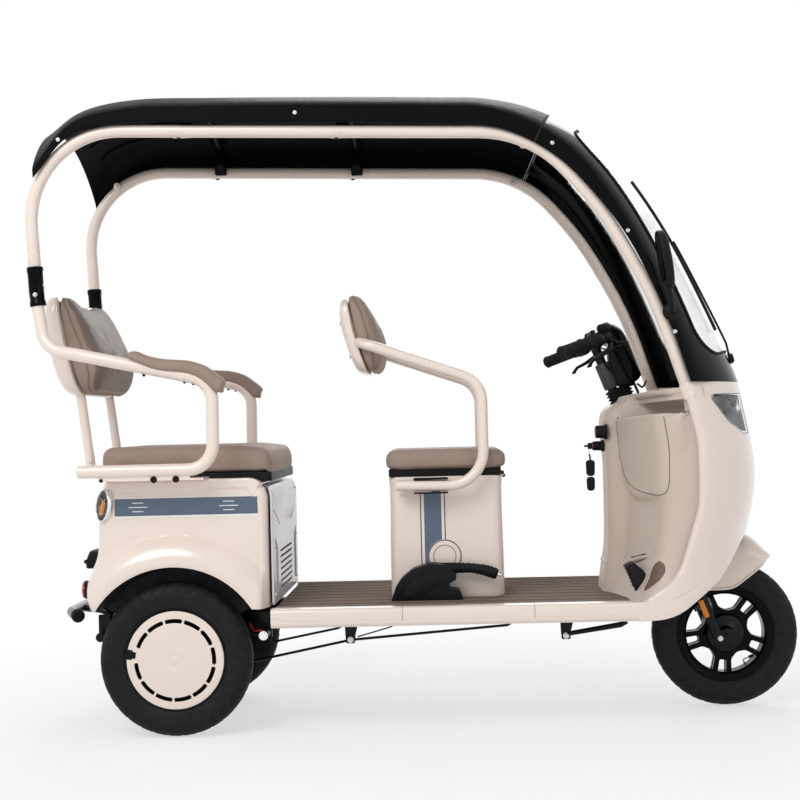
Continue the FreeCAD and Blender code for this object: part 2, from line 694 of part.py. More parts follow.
def fixed_hinge(centre, wall_x):
    """Two outer barrels with the pin, joined to the wall behind them."""
    shapes = []
    for y0, y1 in FIXED_SPANS:
        shapes.append(rod(V(centre.x, y0, centre.z), V(centre.x, y1, centre.z), HINGE_R))
        shapes.append(box(wall_x, centre.x, y0, y1, centre.z - HINGE_R, centre.z - 1))
    shapes.append(rod(V(centre.x, FIXED_SPANS[0][0], centre.z), V(centre.x, FIXED_SPANS[1][1], centre.z), PIN_R))
    return shapes


def lid_hinge(centre, lid_x, lid_z):
    """Middle barrel round the pin, joined to the lid's front edge."""
    y0, y1 = LID_SPANS[0]
    barrel = rod(V(centre.x, y0, centre.z), V(centre.x, y1, centre.z), HINGE_R)
    leaf = box(lid_x, centre.x + 2, y0, y1, lid_z, lid_z + 6)
    drop = box(centre.x - 3, centre.x + 2, y0, y1, centre.z, lid_z + 6)
    whole = fuse([barrel, leaf, drop])
    return whole.cut(rod(V(centre.x, y0 - 1, centre.z), V(centre.x, y1 + 1, centre.z), PIN_R + 0.1))


def rear_seat_base():
    """Lid of the rear box, carrying the bench cushion."""
    low = BODY_TOP + SEAT_GAP
    lid = box(REAR_X - 172, FRONT_FACE - 4, -RIM_HALF - 6, RIM_HALF + 6, low, low + LID_T)
    lip = box(REAR_X - 150, FRONT_FACE - 50, -RIM_HALF + 8, RIM_HALF - 8, low - 10, low + 1)
    return fuse([lid, lip, lid_hinge(REAR_HINGE, FRONT_FACE - 10, low)])


def cushion(x0, x1, half, low, top, corner, edge):
    """Plain padded block with rounded corners and a rounded top edge."""
    block = plan_prism([(x0, -half, corner), (x1, -half, corner), (x1, half, corner), (x0, half, corner)], low, top)
    rim = [item for item in block.Edges if item.CenterOfMass.z > top - 0.1]
    return block.makeFillet(edge, rim)


def driver_seat_base():
    """Black lid of the pedestal under the driver's cushion."""
    low = PED_TOP + SEAT_GAP
    lid = box(PED_REAR + 2, PED_FRONT - 4, -PED_HALF + 2, PED_HALF - 2, low, low + LID_T + 6)
    lip = box(PED_REAR + PED_T + 12, PED_FRONT - 50, -PED_HALF + PED_T + 12, PED_HALF - PED_T - 12, low - 10, low + 1)
    return fuse([lid, lip, lid_hinge(DRIVER_HINGE, PED_FRONT - 10, low)])


def driver_pedestal():
    """Hollow moulded pedestal on the floor, open at the top under the seat."""
    half = PED_HALF
    outer = plan_prism([(PED_REAR, -half, 26), (PED_FRONT, -half, 26), (PED_FRONT, half, 26), (PED_REAR, half, 26)],
                       FLOOR_TOP + SEAT_GAP, PED_TOP)
    inner = plan_prism([
        (PED_REAR + PED_T, -half + PED_T, 16), (PED_FRONT - PED_T, -half + PED_T, 16),
        (PED_FRONT - PED_T, half - PED_T, 16), (PED_REAR + PED_T, half - PED_T, 16)],
        FLOOR_TOP + PED_T, PED_TOP + 5)
    return fuse([outer.cut(inner)] + fixed_hinge(DRIVER_HINGE, PED_FRONT - 2))


parts["rear_box_panel"] = fuse([parts["rear_box_panel"]] + [
    box(FRONT_FACE + SEAT_GAP, FRONT_FACE + PANEL_T, y0, y1, BODY_TOP - 33, BODY_TOP - 6) for y0, y1 in FIXED_SPANS]
    + fixed_hinge(REAR_HINGE, FRONT_FACE + 1))
parts["rear_seat_base"] = rear_seat_base()
parts["rear_seat_cushion"] = cushion(REAR_X - 184, REAR_X + 266, REAR_SEAT_HALF, BODY_TOP + LID_T + 2 * SEAT_GAP,
                                     REAR_SEAT_TOP, 60, 26)
parts["driver_pedestal"] = driver_pedestal()
parts["driver_seat_base"] = driver_seat_base()
parts["driver_seat_cushion"] = cushion(PED_REAR - 4, PED_FRONT + 8, DRIVER_HALF, PED_TOP + LID_T + 6 + 2 * SEAT_GAP,
                                       DRIVER_SEAT_TOP, 60, 24)

# ==== rear arms and backrest =================================================================
# Centre line of an arm: x from the rear axle, distance from the mid plane, z, arc radius.
ARM_LINE = [
    (-352.3, CANOPY_HALF, 1178, 0), (-330, CANOPY_HALF + 16, 1050, 75), (-190, ARM_HALF, 1020, 150),
    (124, ARM_HALF, 952, 68), (122, ARM_HALF, 718, 68), (-236, ARM_HALF, 718, 0),
]
BAR_Z = 718.0
POST_Y = 240.0
# Centre line of a backrest post: x from the rear axle, z, arc radius.
POST_LINE = [(-222, BAR_Z, 0), (-262, 930, 300), (-312, 1120, 0)]
BACK_HALF = 246.0
# Side outlines of the rear backrest: x from the rear axle, z, arc radius.
BACK_SHELL_SIDE = [(-356, 1184, 6), (-345, 1040, 200), (-316, 948, 30), (-266, 930, 12), (-258, 942, 5),
                   (-290, 1050, 200), (-312, 1192, 6)]
BACK_PAD_SIDE = [(-311, 1193, 3), (-289, 1050, 200), (-257, 943, 6), (-222, 948, 16), (-204, 1000, 40),
                 (-232, 1085, 120), (-276, 1165, 60), (-300, 1202, 4)]


def arm_corners(side):
    """Corners of one arm's centre line."""
    return [(V(REAR_X + x, side * y, z), r) for x, y, z, r in ARM_LINE]


def arm_frame(side):
    """Bent arm tube with the plate that bolts it to the rear box."""
    plate_low = BODY_TOP + SEAT_GAP
    inner = side * (REAR_SEAT_HALF + 6)
    outer = side * (ARM_HALF + 6)
    y0, y1 = min(inner, outer), max(inner, outer)
    plate = box(REAR_X - 185, REAR_X + 96, y0, y1, plate_low, plate_low + 5)
    web = box(REAR_X - 185, REAR_X + 60, side * ARM_HALF - 6, side * ARM_HALF + 6, plate_low, BAR_Z)
    return fuse([tube(arm_corners(side), ARM_R), plate, web])


def armrest_pads():
    """Soft pads wrapped over the arms' tops."""
    rows = rear_rows([(-152, 1012, 4), (-150, 1040, 6), (-60, 1036, 60), (20, 1030, 60), (84, 1004, 50),
                      (146, 946, 10), (132, 918, 8), (100, 930, 30), (60, 958, 60), (-60, 994, 0)])
    pad = side_prism(rows, -ARM_HALF - 30, -ARM_HALF + 30)
    corners = arm_corners(-1)
    return both_sides(pad.cut(tube(corners, ARM_R + SEAT_GAP)))


def canopy_sleeves():
    """Clamped sleeves that join each arm to its canopy tube."""
    joint = V(REAR_X - 353, -CANOPY_HALF, 1181)
    arm_end, arm_bend = (point for point, radius in arm_corners(-1)[:2])
    down = (arm_bend - arm_end).normalize()
    axle, dx, z, radius = CANOPY_LINE[1]
    up = (V(AXLE_OF[axle] + dx, -CANOPY_HALF, z) - joint).normalize()
    outer = tube([(joint + down * 56, 0), (joint, 60), (joint + up * 92, 0)], SLEEVE_R)
    inner = tube([(joint + down * 70, 0), (joint, 60), (joint + up * 110, 0)], CANOPY_R + 2 * SEAT_GAP)
    return both_sides(outer.cut(inner))


def back_posts(radius):
    """Both backrest posts."""
    return [tube(side_path(rear_rows(POST_LINE), side * POST_Y), radius) for side in (-1, 1)]


def back_frame():
    """Cross bar between the arms with two posts for the backrest."""
    reach = ARM_HALF - ARM_R - SEAT_GAP
    bar = rod(V(REAR_X - 222, -reach, BAR_Z), V(REAR_X - 222, reach, BAR_Z), 13)
    return fuse([bar] + back_posts(13))


def back_piece(rows, half, corner):
    """Backrest layer: side outline drawn across, with rounded corners seen from the front."""
    layer = side_prism(rear_rows(rows), -half, half)
    zs = [row[1] for row in rows]
    low, top = min(zs), max(zs)
    corners = [(V(REAR_X - 500, y, z), corner) for y, z in
               ((-half, low), (half, low), (half, top), (-half, top))]
    face = Part.Face(Part.Wire(path_edges(corners, closed=True)))
    return layer.common(face.extrude(V(400, 0, 0)))


def rear_back(rows, half):
    """Rear backrest layer with channels for the posts."""
    layer = back_piece(rows, half, 70)
    return layer.cut(back_posts(13 + SEAT_GAP))


parts["rear_arm_frames"] = Part.makeCompound([arm_frame(-1), arm_frame(1)])
parts["armrest_pads"] = armrest_pads()
parts["canopy_sleeves"] = canopy_sleeves()
parts["back_frame"] = back_frame()
parts["back_shell"] = rear_back(BACK_SHELL_SIDE, BACK_HALF)
parts["back_pad"] = rear_back(BACK_PAD_SIDE, BACK_HALF - 4)

# ==== driver's arms and backrest ==============================================================
# Centre line of the driver's arm: x from the rear axle, z, arc radius.
DRIVER_ARM_LINE = [(598, 656, 0), (840, 652, 95), (840, 938, 78), (502, 1056, 50)]
DRIVER_BACK_HALF = 176.0
DRIVER_SHELL_SIDE = [(450, 1180, 6), (456, 1110, 100), (498, 978, 12), (512, 966, 6), (516, 978, 4),
                     (478, 1108, 100), (468, 1186, 6)]
DRIVER_PAD_SIDE = [(469, 1187, 3), (479, 1108, 100), (517, 979, 4), (540, 964, 14), (576, 980, 14),
                   (580, 1070, 60), (524, 1184, 14), (490, 1192, 10)]


def driver_arm_loop(radius):
    """One tube from one side of the pedestal, behind the back and down the other side."""
    right = side_path(rear_rows(DRIVER_ARM_LINE), -DRIVER_ARM_HALF)
    left = side_path(rear_rows(DRIVER_ARM_LINE), DRIVER_ARM_HALF)
    return tube(right + left[::-1], radius)


def driver_arm_frame():
    """Driver's arm loop with the plates that bolt it to the pedestal."""
    shapes = [driver_arm_loop(DRIVER_ARM_R)]
    for side in (-1, 1):
        inner, outer = side * (PED_HALF + SEAT_GAP), side * DRIVER_ARM_HALF
        y0, y1 = min(inner, outer), max(inner, outer)
        shapes.append(box(PED_REAR + 30, PED_REAR + 120, y0, y1, 648, 664))
        face = side * (PED_HALF + SEAT_GAP)
        y0, y1 = min(face, face + side * 6), max(face, face + side * 6)
        shapes.append(box(PED_REAR + 30, PED_REAR + 120, y0, y1, 630, 672))
    return fuse(shapes)


def driver_layer(rows, half):
    """Side outline drawn across, with rounded corners seen from the front."""
    layer = side_prism(rear_rows(rows), -half, half)
    zs = [row[1] for row in rows]
    corners = [(V(REAR_X + 300, y, z), 60) for y, z in
               ((-half, min(zs)), (half, min(zs)), (half, max(zs)), (-half, max(zs)))]
    face = Part.Face(Part.Wire(path_edges(corners, closed=True)))
    return layer.common(face.extrude(V(400, 0, 0))).cut(driver_arm_loop(DRIVER_ARM_R + SEAT_GAP))


parts["driver_arm_frame"] = driver_arm_frame()
parts["driver_back_shell"] = driver_layer(DRIVER_SHELL_SIDE, DRIVER_BACK_HALF)
parts["driver_back_pad"] = driver_layer(DRIVER_PAD_SIDE, DRIVER_BACK_HALF - 3)


# ==== steering ==================================================================================
CROWN_Z = 476.0
GUARD_HALF = 90.0
GUARD_T = 5.0
# Mudguard seen from the side: x from the front axle, z, arc radius.
GUARD_SIDE = [(-168, 392, 20), (-120, 458, 80), (-20, 486, 120), (50, 480, 60), (131, 428, 4), (110, 408, 20),
              (10, 346, 60), (-80, 330, 30), (-140, 352, 20)]


def fork():
    """Stem, crown and two legs with the front axle."""
    stem = rod(steer_point(CROWN_Z), steer_point(STEM_TOP), STEM_R)
    shapes = [stem]
    crown = rod(steer_point(CROWN_Z, y=-FORK_HALF), steer_point(CROWN_Z, y=FORK_HALF), 17)
    shapes.append(crown)
    collar = rod(steer_point(CROWN_Z), steer_point(HEAD_LOW - RUN_GAP), HEAD_R)
    shapes.append(collar)
    for side in (-1, 1):
        y = side * FORK_HALF
        low = steer_point(AXLE_Z - 6, y=y)
        shapes.append(rod(steer_point(CROWN_Z + 8, y=y), low, LEG_R))
        axle = V(FRONT_X, y, AXLE_Z)
        shapes.append(rod(axle - V(0, LEG_R - 3, 0), axle + V(0, LEG_R - 3, 0), 18))
        shapes.append(fuse([box(low.x, FRONT_X, y - LEG_R + 4, y + LEG_R - 4, AXLE_Z - 14, AXLE_Z + 14)]))
    shapes.append(rod(V(FRONT_X, -FORK_HALF - 22, AXLE_Z), V(FRONT_X, FORK_HALF + 22, AXLE_Z), FRONT_AXLE_R))
    return fuse(shapes)


def mudguard():
    """Front mudguard: an arched channel fixed under the fork crown."""
    rows = front_rows(GUARD_SIDE)
    outer = side_prism(rows, -GUARD_HALF, GUARD_HALF)
    inner_rows = front_rows([(-200, 300, 0), (-162, 392, 20), (-116, 453, 78), (-20, 486 - GUARD_T, 120),
                             (48, 475, 60), (128, 424, 0), (150, 380, 0), (150, 300, 0)])
    inner = side_prism(inner_rows, -GUARD_HALF + GUARD_T, GUARD_HALF - GUARD_T)
    shell = outer.cut(inner)
    grip = [rod(steer_point(CROWN_Z + 40, y=y), steer_point(CROWN_Z - 200, y=y), LEG_R + SEAT_GAP)
            for y in (-FORK_HALF, FORK_HALF)]
    grip.append(rod(steer_point(CROWN_Z, y=-FORK_HALF), steer_point(CROWN_Z, y=FORK_HALF), 17 + SEAT_GAP))
    grip.append(rod(steer_point(CROWN_Z - 40), steer_point(CROWN_Z + 80), HEAD_R + SEAT_GAP))
    return shell.cut(grip)


# Handlebar: x from the steering axis at the stem's top, y, z, arc radius.
BAR_LINE = [(-98, 306, 990, 0), (-10, 222, 1020, 60), (14, 140, 1046, 50), (8, 60, 1050, 40)]
BAR_CENTRE_X = steer_point(1048.0).x


def bar_corners(side):
    """Corners of one half of the handlebar, from its end inward."""
    return [(V(BAR_CENTRE_X + x, side * y, z), r) for x, y, z, r in BAR_LINE]


def handlebar():
    """Swept bar with its clamp, switch pods and brake levers."""
    right, left = bar_corners(-1), bar_corners(1)
    shapes = [tube(right + left[::-1], BAR_R)]
    clamp = rod(steer_point(STEM_TOP - 40), steer_point(CLAMP_TOP), STEM_R + 10)
    clamp = clamp.cut(rod(steer_point(STEM_TOP - 60), steer_point(STEM_TOP + SEAT_GAP), STEM_R + SEAT_GAP))
    shapes.append(clamp)
    for side in (-1, 1):
        end, bend = (point for point, radius in bar_corners(side)[:2])
        along = (end - bend).normalize()
        start = end - along * (GRIP_LENGTH + 6)
        shapes.append(rod(start + along * 4, start - along * 34, 22))
        lever_root = start - along * 20
        ahead = V(26, 0, -8)
        tip = end - along * 20 + V(34, 0, -16)
        shapes.append(rod(lever_root, lever_root + ahead, 8))
        shapes.append(rod(lever_root + ahead, tip, 5.5))
        shapes.append(Part.makeSphere(8, tip))
    return fuse(shapes)


def grips():
    """Rubber sleeves on the bar's ends."""
    solids = []
    for side in (-1, 1):
        end, bend = (point for point, radius in bar_corners(side)[:2])
        along = (end - bend).normalize()
        sleeve = rod(end - along * GRIP_LENGTH, end + along * 6, GRIP_R)
        solids.append(sleeve.cut(rod(end - along * (GRIP_LENGTH + 5), end, BAR_R)))
    return Part.makeCompound(solids)


def display_pod():
    """Instrument housing ahead of the handlebar clamp."""
    rows = [(BAR_CENTRE_X + x, z, r) for x, z, r in
            [(22, 1036, 0), (24, 1078, 14), (76, 1078, 26), (122, 968, 26), (74, 944, 12), (54, 985, 0)]]
    pod = side_prism(rows, -62, 62)
    bar = tube(bar_corners(-1) + bar_corners(1)[::-1], BAR_R + SEAT_GAP)
    return pod.cut([bar, rod(steer_point(STEM_TOP - 60), steer_point(CLAMP_TOP + 40), STEM_R + 10 + SEAT_GAP)])


def steering_boot():
    """Bellows round the stem above the column."""
    profile = []
    for index in range(7):
        profile += [(index * 12.0, STEM_R + 16), (index * 12.0 + 6, STEM_R + 10)]
    base = steer_point(BOOT_LOW)
    axis = (steer_point(BOOT_LOW + 10) - base).normalize()
    corners = [V(STEM_R + SEAT_GAP, 0, 0)] + [V(r, 0, h) for h, r in profile] + [V(STEM_R + SEAT_GAP, 0, profile[-1][0])]
    wire = Part.makePolygon(corners + [corners[0]])
    solid = Part.Face(wire).revolve(ORIGIN, AZ, 360)
    solid.rotate(ORIGIN, AY, -RAKE)
    solid.translate(base)
    return solid


parts["fork"] = fork()
parts["mudguard"] = mudguard()
parts["handlebar"] = handlebar()
parts["grips"] = grips()
parts["display_pod"] = display_pod()
parts["steering_boot"] = steering_boot()


# ==== small fittings =============================================================================
def mirrors():
    """Round-backed mirrors on stalks from the front shell's shoulders."""
    centre = V(FRONT_X - 196, -418, 1238)
    head = Part.makeCylinder(58, 26, ORIGIN, AX)
    head = head.makeFillet(10, [edge for edge in head.Edges if edge.CenterOfMass.x > 20 and edge.Length > 100])
    stretch = FreeCAD.Matrix()
    stretch.scale(V(1, 0.95, 1.35))
    head = head.transformGeometry(stretch)
    head.rotate(ORIGIN, AY, -9)
    head.translate(centre - V(13, 0, 0))
    foot = V(FRONT_X - 178, -SHELL_HALF - SEAT_GAP, 1104)
    stalk = tube([(foot, 0), (foot + V(0, -34, 0), 18), (centre + V(2, 20, -66), 0)], 11)
    base = rod(foot, foot + V(0, -16, 0), 24)
    return both_sides(fuse([head, stalk, base]))


def tail_lamps():
    """Round lamps let into the box's rear corners."""
    middle = V(REAR_X - 196, -BODY_HALF + 14, 622)
    out = V(-1, -1, 0).normalize()
    lamp = rod(middle - out * 6, middle + out * 26, 37)
    lamp = lamp.cut(box_form())
    reflector = box(REAR_X - 256, REAR_X - 246 - SEAT_GAP, -BODY_HALF + 40, -BODY_HALF + 100, 376, 426)
    return Part.makeCompound([lamp, mirrored(lamp), reflector, mirrored(reflector)])


def plate_bracket():
    """Lamp housing and bracket for a number plate at the rear."""
    back = REAR_X - 206
    body = box(REAR_X - 320, back - SEAT_GAP, -70, 70, 440, 486)
    body = body.cut(side_prism(rear_rows(BOX_SIDE), -BODY_HALF, BODY_HALF))
    plate = box(REAR_X - 326, REAR_X - 320, -110, 110, 380, 486)
    for y in (-PLATE_HOLE_Y, PLATE_HOLE_Y):
        plate = plate.cut(rod(V(REAR_X - 330, y, PLATE_HOLE_Z), V(REAR_X - 300, y, PLATE_HOLE_Z), PLATE_HOLE_R))
    return fuse([body, plate])


def rear_bumper():
    """Cross tube behind the box on two arms from the box's corners."""
    bar_x, bar_z = REAR_X - 312, 330.0
    bar = rod(V(bar_x, -270, bar_z), V(bar_x, 270, bar_z), 15)
    shapes = [bar]
    for side in (-1, 1):
        root = V(REAR_X - 215, side * RAIL_Y, RAIL_TOP - 13)
        shapes.append(tube([(root - V(SEAT_GAP, 0, 0), 0), (V(REAR_X - 262, side * RAIL_Y, RAIL_TOP - 13), 20),
                            (V(bar_x, side * RAIL_Y, bar_z), 0)], 11))
    return fuse(shapes)


def parking_brake():
    """Parking-brake lever with its cover on the pedestal's right side."""
    face = -PED_HALF - SEAT_GAP
    cover = side_prism(rear_rows([(577, 342, 0), (600, 398, 16), (640, 426, 20), (704, 440, 16), (757, 418, 20),
                                  (764, 380, 10), (752, 342, 0)]), face - 46, face)
    lever = side_prism(rear_rows([(690, 434, 8), (740, 448, 20), (812, 432, 20), (872, 416, 8), (880, 394, 8),
                                  (800, 396, 20), (700, 404, 8)]), face - 66, face - 36)
    return fuse([cover, lever])


def brake_pedal():
    """Ribbed foot pedal on the floor at the right."""
    rows = front_rows([(-328, 436, 8), (-285, 438, 8), (-254, 350, 0), (-254, DECK_TOP + SEAT_GAP, 0),
                       (-292, DECK_TOP + SEAT_GAP, 0)])
    return side_prism(rows, -282, -222)


def brake_rods():
    """Rods from the pedal to the rear brakes, in two hangers under the rails."""
    y = -RAIL_Y
    low = 236.0
    back, middle, ahead = REAR_X + 190, REAR_X + 458, REAR_X + 1058
    shapes = [rod(V(back, y, 196), V(middle, y, low), 4), rod(V(middle - 6, y, low), V(ahead, y, low + 8), 4),
              rod(V(ahead, y, low - 6), V(FRONT_X - 310, y, 254), 6)]
    for x in (middle, ahead):
        shapes.append(box(x - 14, x + 14, y - 4, y + 4, low - 18, RAIL_LOW - SEAT_GAP))
    return fuse(shapes)


def ignition():
    """Key barrels on the column cover's rear face."""
    shapes = []
    for y, z in ((-50, 832), (-30, 790)):
        shapes.append(rod(V(FRONT_X - 362, y, z), V(FRONT_X - 320, y, z), 13).cut(shield_form()))
    return Part.makeCompound(shapes)


parts["mirrors"] = mirrors()
parts["tail_lamps"] = tail_lamps()
parts["plate_bracket"] = plate_bracket()
parts["rear_bumper"] = rear_bumper()
parts["parking_brake"] = parking_brake()
parts["brake_pedal"] = brake_pedal()
parts["brake_rods"] = brake_rods()
parts["ignition"] = ignition()

# ==== exported nodes ======================================================================
os.makedirs("parts", exist_ok=True)
for name, shape in parts.items():
    shape.exportStep("parts/" + name + ".step")
    print(name, len(shape.Solids), round(shape.Volume / 1e6, 2), "l", shape.isValid())
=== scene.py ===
"""Electric passenger tricycle: the dressed model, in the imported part's own frame."""

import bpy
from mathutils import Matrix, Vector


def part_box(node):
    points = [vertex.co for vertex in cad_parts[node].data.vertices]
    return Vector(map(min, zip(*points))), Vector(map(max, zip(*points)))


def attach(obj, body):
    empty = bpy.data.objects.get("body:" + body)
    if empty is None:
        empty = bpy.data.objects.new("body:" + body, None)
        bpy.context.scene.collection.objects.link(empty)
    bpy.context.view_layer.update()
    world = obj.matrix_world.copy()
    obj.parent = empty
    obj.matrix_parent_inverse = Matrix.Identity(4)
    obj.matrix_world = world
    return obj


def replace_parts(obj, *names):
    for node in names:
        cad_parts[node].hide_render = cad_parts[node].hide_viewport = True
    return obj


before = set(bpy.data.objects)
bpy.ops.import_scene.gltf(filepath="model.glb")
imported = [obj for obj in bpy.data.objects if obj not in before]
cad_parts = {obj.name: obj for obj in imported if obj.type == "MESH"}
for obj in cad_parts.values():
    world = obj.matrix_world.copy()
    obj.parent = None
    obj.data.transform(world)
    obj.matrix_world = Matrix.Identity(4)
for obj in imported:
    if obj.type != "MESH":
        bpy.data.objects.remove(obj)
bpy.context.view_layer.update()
from math import asin, atan2, cos, degrees, hypot, pi, radians, sin, sqrt, tan
import bpy
import bmesh
from mathutils import Matrix, Vector

MM = 0.001                   # lengths below are millimetres, as in the part


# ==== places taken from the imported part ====
def span(node):
    """Lowest and highest corner of a node, in millimetres."""
    low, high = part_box(node)
    return Vector(low) / MM, Vector(high) / MM


front_low, front_high = span("front_tyre")
rear_low, rear_high = span("rear_tyre_right")
F = (front_low.x + front_high.x) / 2      # front axle
R = (rear_low.x + rear_high.x) / 2        # rear axle
TYRE_R = (rear_high.z - rear_low.z) / 2
AXLE_Z = (rear_low.z + rear_high.z) / 2
TYRE_W = rear_high.y - rear_low.y
WHEEL_Y = -(rear_low.y + rear_high.y) / 2
COWL_HALF, COWL_TOP = span("front_cowl")[1].yz
FLOOR_TOP, DECK_TOP = span("floor_mat")[1].z, span("floor_mat")[0].z
FLOOR_REAR, FLOOR_LOW = span("floor_pan")[0].xz
BODY_BASE = span("rear_body")[0].z
FENDER_HALF, BODY_TOP = span("rear_body")[1].yz
FENDER_OUT = 43.0            # how far a fender stands out of the box's side
BODY_HALF = FENDER_HALF - FENDER_OUT
ARCH_R = 250.0               # wheel arch
RAKE = 21.0                  # lean of the steering axis in degrees, and a point on it
STEER_X, STEER_Z = F - 68.0, 308.0
CANOPY_HALF, CANOPY_R = 344.0, 17.0       # canopy tubes: their y, their radius
ARM_Y = span("rear_arm_frames")[1].y - 21.0
SHELL_HALF = span("canopy_roof")[1].y


# ==== materials ====
def srgb(r, g, b):
    """Linear colour from 0-255 display values."""
    def lin(v):
        v /= 255
        return v / 12.92 if v <= 0.04045 else ((v + 0.055) / 1.055) ** 2.4
    return lin(r), lin(g), lin(b), 1.0


class Nodes:
    """Short way to build a node tree."""

    def __init__(self, name):
        self.mat = bpy.data.materials.new(name)
        self.mat.use_nodes = True
        self.tree = self.mat.node_tree
        self.tree.nodes.clear()
        self.out = self.add("ShaderNodeOutputMaterial")
        self.bsdf = self.add("ShaderNodeBsdfPrincipled")
        self.link(self.bsdf, "BSDF", self.out, "Surface")
        self.coords = self.add("ShaderNodeTexCoord")

    def add(self, kind, **values):
        node = self.tree.nodes.new(kind)
        for key, value in values.items():
            if hasattr(node, key):
                setattr(node, key, value)
            else:
                node.inputs[key.replace("_", " ")].default_value = value
        return node

    def link(self, a, out, b, into):
        self.tree.links.new(a.outputs[out], b.inputs[into])

    def set(self, **values):
        for key, value in values.items():
            self.bsdf.inputs[key.replace("_", " ")].default_value = value

    def texture(self, kind, **values):
        node = self.add(kind, **values)
        self.link(self.coords, "Object", node, "Vector")
        return node

    def noise(self, scale, detail=3.0, rough=0.5):
        return self.texture("ShaderNodeTexNoise", Scale=scale, Detail=detail, Roughness=rough)

    def tint(self, source, colour, ends):
        """Base colour that drifts between two lighter and darker shares of one colour."""
        node = self.add("ShaderNodeValToRGB")
        self.link(source, "Fac", node, "Fac")
        for element, (place, share) in zip(node.color_ramp.elements, ends):
            element.position = place
            element.color = tuple(max(0.0, min(1.0, c * share)) for c in colour[:3]) + (1.0,)
        self.link(node, "Color", self.bsdf, "Base Color")

    def vary(self, source, low, high):
        """Roughness between two values."""
        node = self.add("ShaderNodeMapRange", From_Min=0.3, From_Max=0.7, To_Min=low, To_Max=high)
        self.link(source, "Fac", node, "Value")
        self.link(node, "Result", self.bsdf, "Roughness")

    def bump(self, source, out, strength, distance, after=None):
        node = self.add("ShaderNodeBump", Strength=strength, Distance=distance)
        self.link(source, out, node, "Height")
        if after:
            self.link(after, "Normal", node, "Normal")
        self.link(node, "Normal", self.bsdf, "Normal")
        return node


def surface(name, colour, drift, ends, patch, rough, **values):
    """What every opaque finish shares: a drifting colour and a roughness in patches."""
    n = Nodes(name)
    n.tint(n.noise(*drift), colour, ends)
    n.set(**values)
    n.vary(n.noise(*patch), *rough)
    return n


def paint(name, colour, rough=0.25, coat=0.6, vary=0.02, orange=0.02, gleam=0.5):
    """Gloss paint or plastic with faint colour drift and orange peel."""
    n = surface(name, colour, (3.0, 4.0), ((0.3, 1 - vary), (0.7, 1 + vary)), (22.0, 3.0), (rough * 0.9, rough * 1.15),
                Coat_Weight=coat, Coat_Roughness=0.08, IOR=1.48, Specular_IOR_Level=gleam)
    n.bump(n.noise(420.0, 2.0), "Fac", orange, 0.0004)
    return n.mat


def plastic(name, colour, rough=0.45, grain=900.0, depth=0.15, vary=0.05, gleam=0.5):
    """Moulded plastic with a fine leather-like grain."""
    n = surface(name, colour, (6.0, 4.0), ((0.3, 1 - vary), (0.7, 1 + vary)), (60.0, 3.0), (rough * 0.88, rough * 1.1),
                IOR=1.46, Specular_IOR_Level=gleam)
    n.bump(n.texture("ShaderNodeTexVoronoi", Scale=grain), "Distance", depth, 0.0003)
    return n.mat


def leather(name, colour, rough=0.42):
    """Leatherette: small pebbles, soft creases and a light sheen."""
    n = surface(name, colour, (5.0, 5.0), ((0.28, 0.93), (0.72, 1.06)), (45.0, 4.0), (rough * 0.85, rough * 1.2),
                Sheen_Weight=0.02, Sheen_Roughness=0.5, IOR=1.45, Specular_IOR_Level=0.06)
    pebbles = n.texture("ShaderNodeTexVoronoi", Scale=520.0, Randomness=0.9, feature="DISTANCE_TO_EDGE")
    first = n.bump(pebbles, "Distance", 0.32, 0.0006)
    n.bump(n.noise(26.0, 6.0, 0.62), "Fac", 0.22, 0.004, after=first)
    return n.mat


def metal(name, grey, blue, rough):
    """Plated or bare metal with faint smears."""
    n = surface(name, (grey, grey, blue), (9.0, 4.0), ((0.3, 0.95), (0.7, 1.03)), (38.0, 4.0),
                (rough * 0.75, rough * 1.3), Metallic=1.0)
    n.bump(n.noise(700.0, 2.0), "Fac", 0.03, 0.0003)
    return n.mat


def rubber(name, colour):
    """Black rubber with a dusty bloom."""
    rough = 0.66
    n = surface(name, colour, (14.0, 6.0, 0.6), ((0.32, 0.8), (0.72, 1.25)), (70.0, 4.0), (rough * 0.85, rough * 1.15),
                Specular_IOR_Level=0.22)
    n.bump(n.noise(260.0, 5.0, 0.65), "Fac", 0.2, 0.0008)
    return n.mat


def clear(name, colour, rough, alpha=None, weight=1.0):
    """Clear or tinted moulded plastic."""
    n = Nodes(name)
    n.set(Base_Color=colour, Transmission_Weight=weight, IOR=1.38, Coat_Weight=0.3)
    n.vary(n.noise(12.0, 3.0), rough * 0.7, rough * 1.4)
    if alpha is not None:
        n.set(Alpha=alpha)
    return n.mat


